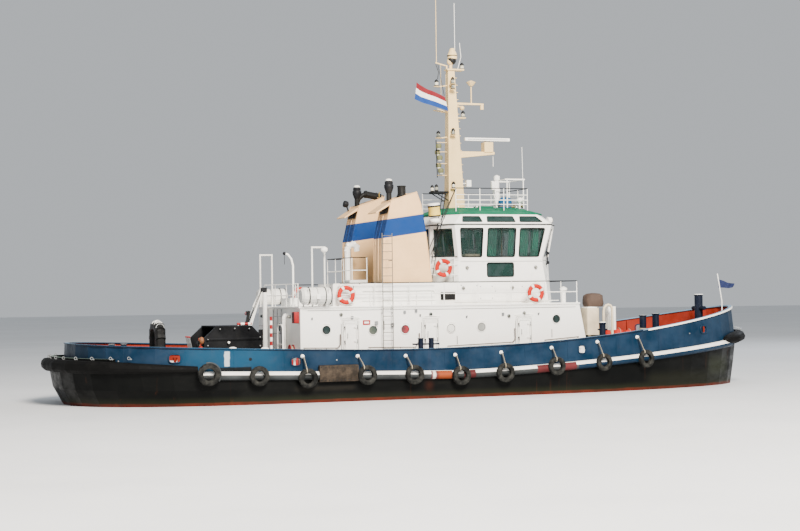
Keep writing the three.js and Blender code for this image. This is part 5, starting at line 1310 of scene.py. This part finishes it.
# Inside: side desks, seats, controls, screens and a brown post
DESKS = (
    (1.55, 2.2, 1.5, 2.2, 4.7, 5.78, "beige", 0.05, "z"),
    (1.7, 2.1, 1.6, 2.0, 5.78, 5.98, "console", 0.04, "x"),
    (2.3, 3.2, 1.5, 2.15, 4.7, 5.72, "console", 0.05, "z"),
    (2.75, 2.95, 1.7, 1.95, 5.74, 6.12, "console", 0.03, "x"),
)
cabin = Piece("wheelhouse_inside", "console_plastic")
for side, _ in SIDES:
    for x0, x1, y0, y1, z0, z1, look, r, axis in DESKS:
        cabin.soft_box((x0, side * y0, z0), (x1, side * y1, z1), look, r, axis)
    cabin.tube([(3.35, side * 1.8, 4.7), (3.35, side * 1.8, 6.98)], 0.035, "brown", 10)
cabin.soft_box((1.9, -0.8, 4.7), (2.25, 0.8, 6.5), "console", 0.05)
cabin.soft_box((0.4, -1.35, 4.7), (0.9, -0.6, 6.1), "console", 0.05)
cabin.lathe(((0.2, 4.68), (0.2, 4.74), (0.05, 4.78), (0.05, 5.2)), (1.62, -0.9, 0), "console", 16)
for y in (-0.75, -0.25, 0.25, 0.75):
    cabin.soft_box((5.0, y - 0.2, 5.46), (5.12, y + 0.2, 5.85), "console", 0.03, "x")
    screen = ((-0.17, 5.5), (0.17, 5.5), (0.17, 5.8), (-0.17, 5.8))
    cabin.quad([(4.995, y + dy, z) for dy, z in screen], "dark_pane")
for y in (-0.35, 0.35):
    cabin.tube([(4.75, y, 5.35), (4.72, y, 5.55)], 0.02, "steel", 8)
    cabin.ball((4.72, y, 5.58), 0.04, "black", 12)
cabin.torus((4.5, 0, 5.42), 0.17, 0.018, "brown", (1, 0, 0.35), 28, 8)
cabin.tube([(4.5, 0, 5.42), (4.6, 0, 5.38)], 0.025, "steel", 8)
cabin.done()
for label, x, y, low, high in (("mate", 1.62, -0.9, 5.2, 6.2), ("master", 3.9, 0.0, 5.245, 5.95)):
    cushion = Piece("seat_cushion_" + label, smooth=60)
    cushion.ball((x, y, low + 0.06), 0.26, "seat", 24, (1, 1, 0.36))
    cushion.done()
    rest = Piece("seat_back_" + label, smooth=60)
    rest.ball((x - 0.27, y, (low + high) / 2 + 0.08), 0.3, "seat", 24, (0.3, 0.85, (high - low - 0.1) / 0.6))
    rest.done()

# Lower bars of the roof rail, and the handrails of the roof ladder
bars = Piece("roof_rail_bars", "white_paint")
for z in (7.86, 8.26):
    bars.tube([(1.25, -1.95, z), (4.5, -1.95, z), (4.5, 1.95, z), (1.25, 1.95, z)], 0.013, "white")
for foot in (-2.0, -2.5):
    bars.tube([(1.25, -1.95, 8.51), (0.55, 0.5 * (foot - 1.95), 7.16), (-0.12, foot, 5.72)], 0.017, "dark")
bars.done()

# Roof of the wheelhouse: post with its heads, frame, searchlights, horns, brackets and hatches
POST = (
    (0.16, 7.75), (0.16, 7.8), (0.1, 7.83), (0.1, 8.5), (0.14, 8.52), (0.14, 8.62), (0.1, 8.64), (0.1, 9.0),
    (0.13, 9.02), (0.13, 9.18), (0.03, 9.24),
)
FRAME_Y, FRAME_Z = 0.75, 9.0
AIM = (1, 0, 0.05)
roof = Piece("roof_gear", "white_paint")
roof.lathe(POST, (3.95, 0, 0), "white", 20)
roof.soft_box((3.68, -0.1, 8.6), (3.86, 0.1, 8.95), "white", 0.04)
roof.tube([(3.86, -0.15, 7.9), (3.76, -0.18, 8.3), (3.84, -0.14, 8.6)], 0.02, "white")
roof.tube([(3.79, 0, 9.6), (3.79, 0, 10.1)], 0.012, "white")
for x in (4.1, 4.86):
    roof.tube([(x, -FRAME_Y, 7.76), (x, -FRAME_Y, FRAME_Z)], 0.026, "white", 8)
    roof.tube([(x, -FRAME_Y, FRAME_Z), (x, FRAME_Y, FRAME_Z), (x, FRAME_Y, 7.76)], 0.026, "white", 8)
for y in (-FRAME_Y, FRAME_Y):
    roof.tube([(4.0, y, FRAME_Z), (4.92, y, FRAME_Z)], 0.034, "white", 8)
roof.tube([(4.84, -FRAME_Y, FRAME_Z), (4.82, -FRAME_Y, 10.4)], 0.011, "white")
for side, _ in SIDES:
    light = (4.45, side * 1.25, 8.08)
    roof.lathe(((0.04, 7.72), (0.04, 7.98)), (4.45, side * 1.25, 0), "white", 12)
    roof.lathe(((0.05, -0.12), (0.11, -0.08), (0.125, 0.1), (0.12, 0.13)), light, "white", 22, AIM)
    roof.lathe(((0.105, 0.132), (0.002, 0.136)), light, "lens", 22, AIM)
    horn = ((0.03, 0), (0.035, 0.2), (0.06, 0.32), (0.12, 0.42))
    roof.lathe(horn, (4.55, side * 0.45, 7.87), "brass", 18, AIM)
    roof.tube([(4.65, side * 0.45, 7.74), (4.65, side * 0.45, 7.87)], 0.02, "steel")
for x in (1.35, 2.2, 3.1, 4.0):
    roof.tube([(x, -1.95, 7.76), (x, -1.82, 7.72)], 0.03, "white")
roof.soft_box((2.6, -1.2, 7.75), (3.3, -0.5, 7.82), "green", 0.08)
roof.soft_box((2.65, 0.6, 7.75), (3.25, 1.2, 7.9), "white", 0.08)
roof.tube([(2.5, -0.2, 7.77), (2.9, -0.2, 7.77), (3.3, 0.1, 7.77)], 0.012, "dark")
roof.done()
covered = Piece("covered_compass", "dark_paint", smooth=60)
cover = (
    (0.02, 8.26), (0.14, 8.25), (0.24, 8.2), (0.29, 8.1), (0.3, 7.95), (0.27, 7.84), (0.3, 7.76),
    (0.26, 7.755),
)
covered.lathe(cover, (4.12, -0.45, 0), "tarp", 26)
covered.torus((4.12, -0.45, 7.86), 0.285, 0.016, "rope", UP, 30)
covered.done()

# Drum-shaped container and its bracket at the after corner of the roof
drum = Piece("rescue_drum", "raft_plastic")
for profile, look in (
    (((0.2, 0), (0.24, 0.01), (0.245, 0.06)), "black"),
    (((0.245, 0.06), (0.25, 0.14), (0.24, 0.15), (0.24, 0.34), (0.25, 0.36), (0.25, 0.4)), "yellow"),
    (((0.25, 0.4), (0.255, 0.42), (0.255, 0.46), (0.25, 0.47)), "black"),
    (((0.26, 0.47), (0.27, 0.49), (0.27, 0.53), (0.22, 0.56), (0.02, 0.57)), "white"),
):
    drum.lathe(profile, (0.28, -2.0, 7.33), look, 28, (-0.12, -0.05, 1))
drum.ball((0.29, -2.0, 7.16), 0.24, "white", 18, (1, 1, 0.55))
drum.tube([(0.3, -2.0, 7.1), (0.5, -2.0, 7.02), (0.7, -2.0, 7.2)], 0.05, "white", 10)
drum.done()

# Mast: navigation lamps, dark sphere under the dome, cables, rungs and small gear
mast = Piece("mast_fittings", "cream_paint")


def lamp(x, z, y=0.0, r=0.075, shelf=True):
    """A navigation lamp: shelf, dark base, glass and cap."""
    at = (x, y, z)
    base = ((1, 0), (1.05, 0.04), (0.85, 0.05))
    lens = ((0.85, 0.05), (0.9, 0.08), (0.9, 0.15), (0.8, 0.18))
    cap = ((0.95, 0.18), (1, 0.21), (0.7, 0.26), (0.2, 0.3))
    if shelf:
        mast.lathe(((r * 1.6, -0.02), (r * 1.6, 0.0)), at, "cream", 16)
    for profile, look in ((base, "black"), (lens, "lens"), (cap, "black")):
        mast.lathe([(r * share, h) for share, h in profile], at, look, 18)


mast.ball((1.93, -0.02, 14.13), 0.19, "black", 20)
mast.torus((1.95, 0, 14.33), 0.2, 0.02, "dark")
for x, z in ((1.83, 13.18), (1.84, 12.95), (1.82, 11.0), (1.8, 8.72)):
    lamp(x, z - 0.1, -0.34, 0.085)
    mast.tube([(x - 0.1, -0.15, z - 0.12), (x, -0.34, z - 0.12)], 0.025, "cream")
for x, z in ((1.22, 13.1), (1.27, 10.9)):
    lamp(x, z - 0.1, 0.0, 0.09)
    mast.tube([(x, 0, z - 0.13), (1.75, 0, z - 0.05)], 0.025, "cream")
lamp(2.4, 13.75, 0, 0.09, False)
lamp(2.42, 11.68, 0, 0.09, False)
mast.lathe(((0.08, 0), (0.08, 0.2), (0.04, 0.24)), (3.3, 0, 12.05), "cream", 14)
mast.ball((2.38, 0, 12.1), 0.1, "cream", 14)
mast.tube([(2.1, 0, 12.2), (2.36, 0, 12.14)], 0.03, "cream")
for k, z in enumerate((9.3, 9.55, 9.85, 10.1, 10.35)):
    at = (1.32 - 0.02 * k, -0.1 + 0.2 * (k % 2), z)
    mast.lathe(((0.1, 0), (0.12, 0.03), (0.12, 0.15), (0.08, 0.19)), at, "olive", 16)
    mast.lathe(((0.09, 0.0), (0.09, -0.06)), at, "lens", 16)
mast.tube([(1.2, 0, 9.1), (1.16, 0, 10.7)], 0.02, "dark")
for z in (9.2, 9.7, 10.2, 10.6):
    mast.tube([(1.2, 0, z), (1.7, 0, z)], 0.018, "cream")
mast.soft_box((0.9, -0.3, 8.44), (1.62, 0.3, 8.5), "dark", 0.04)
for y in (-0.25, 0.25):
    mast.tube([(0.95, y, 8.47), (1.6, y, 8.1)], 0.02, "dark")
    lamp(1.05, 8.5, y, 0.08, False)
mast.tube([(1.2, 0, 13.95), (1.3, -0.05, 13.6), (1.25, -0.05, 13.3)], 0.014, "black")
mast.tube([(1.3, 0.02, 13.95), (1.45, 0, 13.2), (1.55, -0.05, 12.6)], 0.012, "black")
for y in (-0.1, 0.1):
    mast.tube([(2.26 - 0.0545 * k, y, 8.0 + k) for k in range(6)], 0.012, "cream")
for z in spread(8.1, 5.27, 17):
    x = 2.33 - (z - 7.75) * 0.0567
    mast.tube([(x, -0.13, z), (x + 0.09, -0.13, z), (x + 0.09, 0.13, z), (x, 0.13, z)], 0.012, "cream")
for y in (-0.14, 0.14):
    mast.tube([(1.66, y * 1.6, 7.9), (1.71, y, 13.6)], 0.014, "cream")
mast.tube([(2.08, 0, 14.6), (2.08, 0, 16.6)], 0.012, "white")
mast.tube([(2.2, 0, 13.76), (2.36, 0, 14.3), (2.3, 0, 14.9)], 0.012, "white")
mast.soft_box((2.5, -0.13, 8.72), (2.72, 0.13, 9.0), "white", 0.03)
mast.tube([(2.28, 0, 8.86), (2.5, 0, 8.86)], 0.02, "white")
mast.done()
radar = Piece("radar_details", "white_paint", body="radar_body")
for y in (-0.07, 0.07):
    radar.tube([(2.6, y, 10.76), (4.44, y, 10.76)], 0.012, "steel")
radar.lathe(((0.12, 10.66), (0.12, 10.69), (0.09, 10.7)), (3.52, 0, 0), "dark", 20)
radar.done()


# Flags
def flag(node, head, foot, fly_head, fly_foot):
    """Bunting between its luff and its fly, rippled across."""
    cols, rows = 36, 12
    head, foot, fly_head, fly_foot = (Vector(p) for p in (head, foot, fly_head, fly_foot))
    verts, uvs = [], []
    for v in spread(0, 1, rows):
        for u in spread(0, 1, cols):
            p = foot.lerp(head, v).lerp(fly_foot.lerp(fly_head, v), u)
            p.y += 0.05 * u * math.sin(9 * u + 2.2 * v) + 0.02 * u * math.sin(19 * u - 3 * v)
            p.z += 0.03 * u * math.sin(6 * u + 1)
            verts.append(p)
            uvs.append((u, v))
    piece = Piece(node + "_bunting", "flag_cloth", replaces=node, smooth=80)
    obj = piece.add(verts, sheet_faces(rows, cols), node).done()
    layer = obj.data.uv_layers.new(name="bunting")
    for loop in obj.data.loops:
        layer.data[loop.index].uv = uvs[loop.vertex_index]


flag("ensign", (1.5, -0.25, 12.52), (1.64, -0.25, 11.93), (0.3, 0.03, 13.12), (0.24, 0.05, 12.42))
flag("jack", (14.76, 0, 4.64), (14.79, 0, 4.25), (15.6, 0.02, 4.42), (15.56, 0.03, 4.24))


# Towing winch: bolts, lashings, wound rope, levers and the striped bar above its cover
WINCH_BOLTS = (
    (-9.2, 2.2), (-9.2, 2.45), (-8.7, 2.85), (-8.1, 2.86), (-7.5, 2.85), (-7.05, 2.5), (-7.05, 2.15),
)
FLOATS = (
    (-9.45, -1.1, 2.05, "orange"), (-9.5, -0.9, 2.25, "dark"), (-9.42, -1.15, 2.4, "brown"),
    (-9.5, -0.6, 1.95, "orange"), (-9.4, -1.0, 1.75, "dark"),
)
winch = Piece("winch_fittings", "gear_steel")
for side, _ in SIDES:
    y = side * 1.31
    for x, z in WINCH_BOLTS:
        winch.lathe(((0.03, 0), (0.027, 0.015), (0.01, 0.025)), (x, y, z), "steel", 10, (0, side, 0))
    winch.lathe(((0.05, 0), (0.045, 0.03), (0.01, 0.04)), (-8.35, y, 2.31), "white", 14, (0, side, 0))
    winch.tube([(-9.25, y + side * 0.01, 2.47), (-6.95, y + side * 0.01, 2.47)], 0.014, "dark")
    for x in (-9.1, -8.3, -7.6):
        winch.torus((x, y + side * 0.02, 2.0), 0.045, 0.012, "steel", UP, 16)
for x0, x1, r, look in (
    (-7.95, -7.35, 0.05, "hose"), (-7.8, -7.65, 0.053, "white"), (-7.5, -7.4, 0.053, "white"),
):
    winch.tube([(x0, -1.1, 3.04), (x1, -1.1, 3.04)], r, look, 10)
for x in (-7.9, -7.4):
    winch.tube([(x, -1.1, 2.9), (x, -1.1, 3.04)], 0.02, "white")
for *at, look in FLOATS:
    winch.ball(at, 0.12, look, 14, (0.9, 1.1, 1.3))
for k in range(5):
    y = -1.2 + 0.12 * k
    look = "rope" if k % 2 else "orange"
    winch.tube([(-9.42, y, 1.6), (-9.5, y, 2.1), (-9.42, y + 0.02, 2.5)], 0.022, look, 8)
for y in spread(0.4, 0.66, 3):
    winch.tube([(-9.42, y, 1.9), (-9.55, y, 2.5)], 0.018, "steel")
    winch.ball((-9.55, y, 2.52), 0.035, "hose", 10)
winch.done()
wound = Piece("wound_towline", "gear_steel", body="winch_drum_body", smooth=60)
for y in spread(-0.56, 1.12, 16):
    wound.torus((-8.12, y, 2.08), 0.42, 0.036, "rope", PORT, 40)
wound.done()

# Crane: ram, hoses, hook and controls
ram = Piece("crane_ram", "gear_steel", body="crane_boom_body")
ram.tube([(-6.3, 1.585, 4.22), (-6.55, 1.585, 3.7)], 0.04, "white", 12)
ram.tube([(-6.55, 1.585, 3.7), (-6.78, 1.585, 3.2)], 0.022, "chain", 10)
ram.tube([(-6.27, 1.36, 4.38), (-6.5, 1.36, 3.85), (-6.88, 1.36, 2.95)], 0.012, "gasket")
ram.tube([(-6.25, 1.33, 4.36), (-6.48, 1.33, 3.8), (-6.86, 1.33, 2.98)], 0.012, "gasket")
ram.done()
hook = Piece("crane_hook", "gear_steel", body="crane_jib_body")
hook.tube([(-6.86, 1.45, 3.5), (-6.86, 1.45, 3.4)], 0.03, "dark", 10)
hook.torus((-6.86, 1.6, 3.42), 0.045, 0.016, "hose", PORT, 20, 8)
hook.tube([(-6.86, 1.5, 3.42), (-6.86, 1.6, 3.42)], 0.016, "dark", 8)
hook.done()
post = Piece("crane_post_fittings", "gear_steel")
post.soft_box((-6.3, 1.62, 2.3), (-6.0, 1.72, 2.75), "dark", 0.02, "y")
for x in spread(-6.25, 0.21, 3):
    post.tube([(x, 1.7, 2.75), (x, 1.72, 2.9)], 0.008, "steel")
    post.ball((x, 1.72, 2.91), 0.015, "black", 8)
post.torus((-6.08, 1.45, 1.42), 0.2, 0.03, "white", UP, 24, 8)
post.tube([(-6.02, 1.62, 2.75), (-6.02, 1.66, 3.6), (-6.06, 1.6, 4.1)], 0.014, "gasket")
post.done()

# Foredeck: boxes, vents, hatch, posts, hoops, a bent pipe and a covered monitor
HATCH_Z = deck_z(10)
# Height and half width of the cover's rows, the lowest of them rippled
MONITOR = ((3.5, 0.32), (3.62, 0.36), (3.8, 0.35), (3.98, 0.33), (4.06, 0.24), (4.09, 0.05))
MONITOR_SIDES, MONITOR_FOLDS = 24, 4
BENT_PIPE = (
    (7.72, 1.6), (7.72, 3.3), (7.75, 3.45), (7.84, 3.55), (7.94, 3.58), (8.04, 3.55), (8.11, 3.45),
    (8.12, 3.3),
    (8.12, 1.65),
)
foredeck = Piece("foredeck_gear", "white_paint")
for lo, hi, look, r in (
    ((7.15, -2.1, 2.3), (7.72, -1.4, 3.45), "beige", 0.06),
    ((7.2, -2.06, 3.45), (7.66, -1.44, 3.5), "white", 0.06),
    ((8.15, -2.1, 2.5), (8.52, -1.6, 3.5), "white", 0.05),
):
    foredeck.soft_box(lo, hi, look, r)
foredeck.tube([(7.75, -1.85, 1.5), (7.75, -1.85, 3.35)], 0.06, "dark", 10)
foredeck.tube([(x, -2.5, z) for x, z in BENT_PIPE], 0.055, "beige", 12)
for x in (7.3, 8.4):
    vent = ((0.16, 1.4), (0.16, 2.1), (0.24, 2.14), (0.24, 2.24), (0.12, 2.34), (0.02, 2.35))
    foredeck.lathe(vent, (x, 1.8, 0), "white", 22)
foredeck.soft_box((9.7, -0.45, HATCH_Z), (10.6, 0.45, HATCH_Z + 0.38), "white", 0.1)
foredeck.soft_box((9.66, -0.49, HATCH_Z + 0.38), (10.64, 0.49, HATCH_Z + 0.43), "deep_blue", 0.1)
for y in (-0.5, 0.5):
    for x in (9.8, 10.5):
        foredeck.tube([(x, y, HATCH_Z + 0.2), (x, y, HATCH_Z + 0.44)], 0.02, "steel")
for side, _ in SIDES:
    y = side * 3.2
    foredeck.lathe(((0.13, 1.5), (0.13, 2.75), (0.15, 2.77), (0.15, 2.84)), (7.3, y, 0), "deep_blue")
    foredeck.lathe(((0.15, 2.84), (0.15, 2.87), (0.02, 2.88)), (7.3, y, 0), "white")
    foredeck.tube([(7.08, y, 2.55), (7.52, y, 2.55)], 0.03, "deep_blue", 10)
    stand = ((12.2, 0), (12.2, 0.5), (12.5, 0.5), (12.5, 0))
    foredeck.tube([(x, side * 0.9, deck_z(x) + dz) for x, dz in stand], 0.03, "steel", 8)
foredeck.torus((13.75, 0, 3.96), 0.19, 0.02, "white", UP, 30, 8)
foredeck.done()
monitor = Piece("covered_monitor", "dark_paint", smooth=60)
rows = []
for k, (z, wide) in enumerate(MONITOR):
    for i, (c, s) in enumerate(turns(MONITOR_SIDES)):
        fold = 1 + 0.05 * math.sin(14 * math.pi * i / MONITOR_SIDES + k) * (k < MONITOR_FOLDS)
        rows.append((7.6 + wide * 1.15 * fold * squared(c), -1.75 + wide * fold * squared(s), z))
monitor.add(rows, hoop_faces(len(MONITOR), MONITOR_SIDES, False), "brown_cover")
monitor.done()

# Windlass: brake wheels on both sides
anchor = Piece("windlass_fittings", "gear_steel")
for side, _ in SIDES:
    y = side * 0.95
    anchor.torus((8.2, y, 2.5), 0.14, 0.016, "hose", PORT, 26, 8)
    anchor.tube([(8.2, side * 0.9, 2.5), (8.2, side * 0.98, 2.5)], 0.02, "steel", 8)
    for c, s in turns(3, 0, 60):
        anchor.tube([(8.2 + far * c, y, 2.5 + far * s) for far in (-0.13, 0.13)], 0.008, "steel")
anchor.done()

# After deck and side decks: hatches, vents, the bollards' collars, bars and ropes, and a grating
HATCHES = (
    (-12.6, 0.0, 0.4), (-13.5, -1.6, 0.3), (-13.5, 1.6, 0.3), (-9.9, -2.6, 0.28), (-9.9, 2.6, 0.28),
    (11.4, 0.0, 0.3),
)
HATCH = ((0.03, -0.02), (0.03, 0.1), (0, 0.12), (0.02, 0.13), (0.02, 0.16))
# Collars of the bollards: x, y, z, radius
COLLARS = (
    (-1.15, 3.93, 1.75, 0.11), (-0.7, 3.93, 1.75, 0.11), (-12.25, 3.0, 1.7, 0.125), (-11.75, 3.0, 1.7, 0.125),
    (9.25, 3.12, 2.35, 0.145), (9.9, 3.05, 2.4, 0.145),
)
MUSHROOM = ((0.11, 0), (0.11, 0.7), (0.19, 0.72), (0.2, 0.8), (0.1, 0.88), (0.02, 0.89))
after = Piece("after_deck_gear", "deck_paint")
for x, y, r in HATCHES:
    z = deck_z(x)
    profile = [(r + d, z + dz) for d, dz in HATCH]
    after.lathe(profile + [(0.02, z + 0.19)], (x, y, 0), "white", 30)
    for c, s in turns(6):
        dog = (x + (r + 0.05) * c, y + (r + 0.05) * s, z)
        after.lathe(((0.02, 0.1), (0.018, 0.2)), dog, "steel", 8)
for side, _ in SIDES:
    for x in (-8.6, -7.3):
        after.lathe([(r, deck_z(x) + dz) for r, dz in MUSHROOM], (x, side * 2.9, 0), "white", 20)
    for x, y, z, r in COLLARS:
        after.torus((x, side * y, z), r + 0.012, 0.014, "deep_blue")
    after.tube([(-1.5, side * 3.93, 2.14), (-0.35, side * 3.93, 2.14)], 0.035, "deep_blue", 10)
    for z in (2.42, 2.48, 2.54):
        after.torus((9.25, side * 3.12, z), 0.165, 0.024, "rope", (0.05, 0, 1), 30, 8)
    bent = ((-10.8, 1.1, deck_z(-10.8) + 0.01), (-10.8, 1.1, 1.7), (-10.86, 0.7, 1.95))
    after.tube(off(side, bent, 0), 0.03, "dark", 8)
for y in spread(-0.9, 1.8, 9):
    after.tube([(-14.1, y, deck_z(-14.1) + 0.02), (-13.9, y, deck_z(-14) + 0.02)], 0.012, "steel")
after.done()
staple = Piece("staple_pads", "gear_steel")
for y in (-0.55, -0.28, 0, 0.28, 0.55):
    staple.torus((-10.96, y, 3.08 - 0.5 * y**2), 0.165, 0.014, "chain", PORT)
staple.done()

# Boat deck: rail's feet, lockers, vents and a skylight
RAIL_FOOT = ((0.05, 3.7), (0.05, 3.712), (0.03, 3.74), (0.02, 3.76))
DECK_VENT = ((0.09, 3.7), (0.09, 4.2), (0.15, 4.23), (0.15, 4.31), (0.03, 4.38))
boat = Piece("boat_deck_gear", "white_paint")
for side, _ in SIDES:
    for x in spread(-4.2, 10.4, 8):
        boat.lathe(RAIL_FOOT, (x, side * 3.06, 0), "white", 12)
    if side > 0:
        boat.soft_box((-4.3, 2.2, 3.71), (-3.5, 2.75, 4.25), "white", 0.05)
        boat.soft_box((5.3, 1.5, 3.71), (5.7, 2.0, 4.05), "white", 0.05)
    boat.lathe(DECK_VENT, (6.0, side * 2.2, 0), "white", 18)
boat.soft_box((-5.6, -0.7, 3.71), (-4.8, 0.7, 4.05), "white", 0.06)
for y in (-0.5, 0.5):
    boat.tube([(-5.62, y, 3.9), (-5.66, y, 3.9), (-5.66, y, 4.02)], 0.012, "steel")
boat.done()


# Camera: 20 degrees aft of the starboard beam, low over the water
BEARING, RISE, ROLL = (math.radians(angle) for angle in (20, 1.06, 0.8))
to_scene = bpy.context.scene.collection.objects.link
lens = bpy.data.cameras.new("camera")
lens.sensor_width = 36
lens.lens = 76.7
lens.clip_end = 500
camera = bpy.data.objects.new("camera", lens)
camera.location = (-25.18, -67.66, 4.03)
camera.rotation_mode = "QUATERNION"
ahead = Vector((math.sin(BEARING) * math.cos(RISE), math.cos(BEARING) * math.cos(RISE), math.sin(RISE)))
camera.rotation_quaternion = ahead.to_track_quat("-Z", "Y") @ Matrix.Rotation(-ROLL, 3, "Z").to_quaternion()
to_scene(camera)
bpy.context.scene.camera = camera

# Floor at the water's level
FLOOR = ((-400, -400, 0), (400, -400, 0), (400, 400, 0), (-400, 400, 0))
floor_mesh = bpy.data.meshes.new("floor")
floor_mesh.from_pydata(FLOOR, [], [(0, 1, 2, 3)])
floor = bpy.data.objects.new("floor", floor_mesh)
to_scene(floor)
floor_mesh.materials.append(paint("pale_floor", "d6d8da", 0.6, dirt=0.03, vary=0.02, bump=0.0, scale=0.05))

# Light: a bright pale sky, a large soft key and a fill from the far side
world = bpy.data.worlds.new("studio")
bpy.context.scene.world = world
world.use_nodes = True
sky = world.node_tree.nodes["Background"].inputs
sky["Color"].default_value = rgb("e2e7ec")
sky["Strength"].default_value = 0.7
for name, at, size, power, colour in (
    ("key", (-5, -60, 45), 26, 155000, "fff6ea"),
    ("fill", (60, 30, 40), 40, 18000, "e6eefb"),
):
    light = bpy.data.lights.new(name, "AREA")
    light.shape = "DISK"
    light.size = size
    light.energy = power
    light.color = rgb(colour)[:3]
    obj = bpy.data.objects.new(name, light)
    obj.location = at
    obj.rotation_mode = "QUATERNION"
    obj.rotation_quaternion = (Vector((0, 0, 3)) - Vector(at)).to_track_quat("-Z", "Y")
    to_scene(obj)
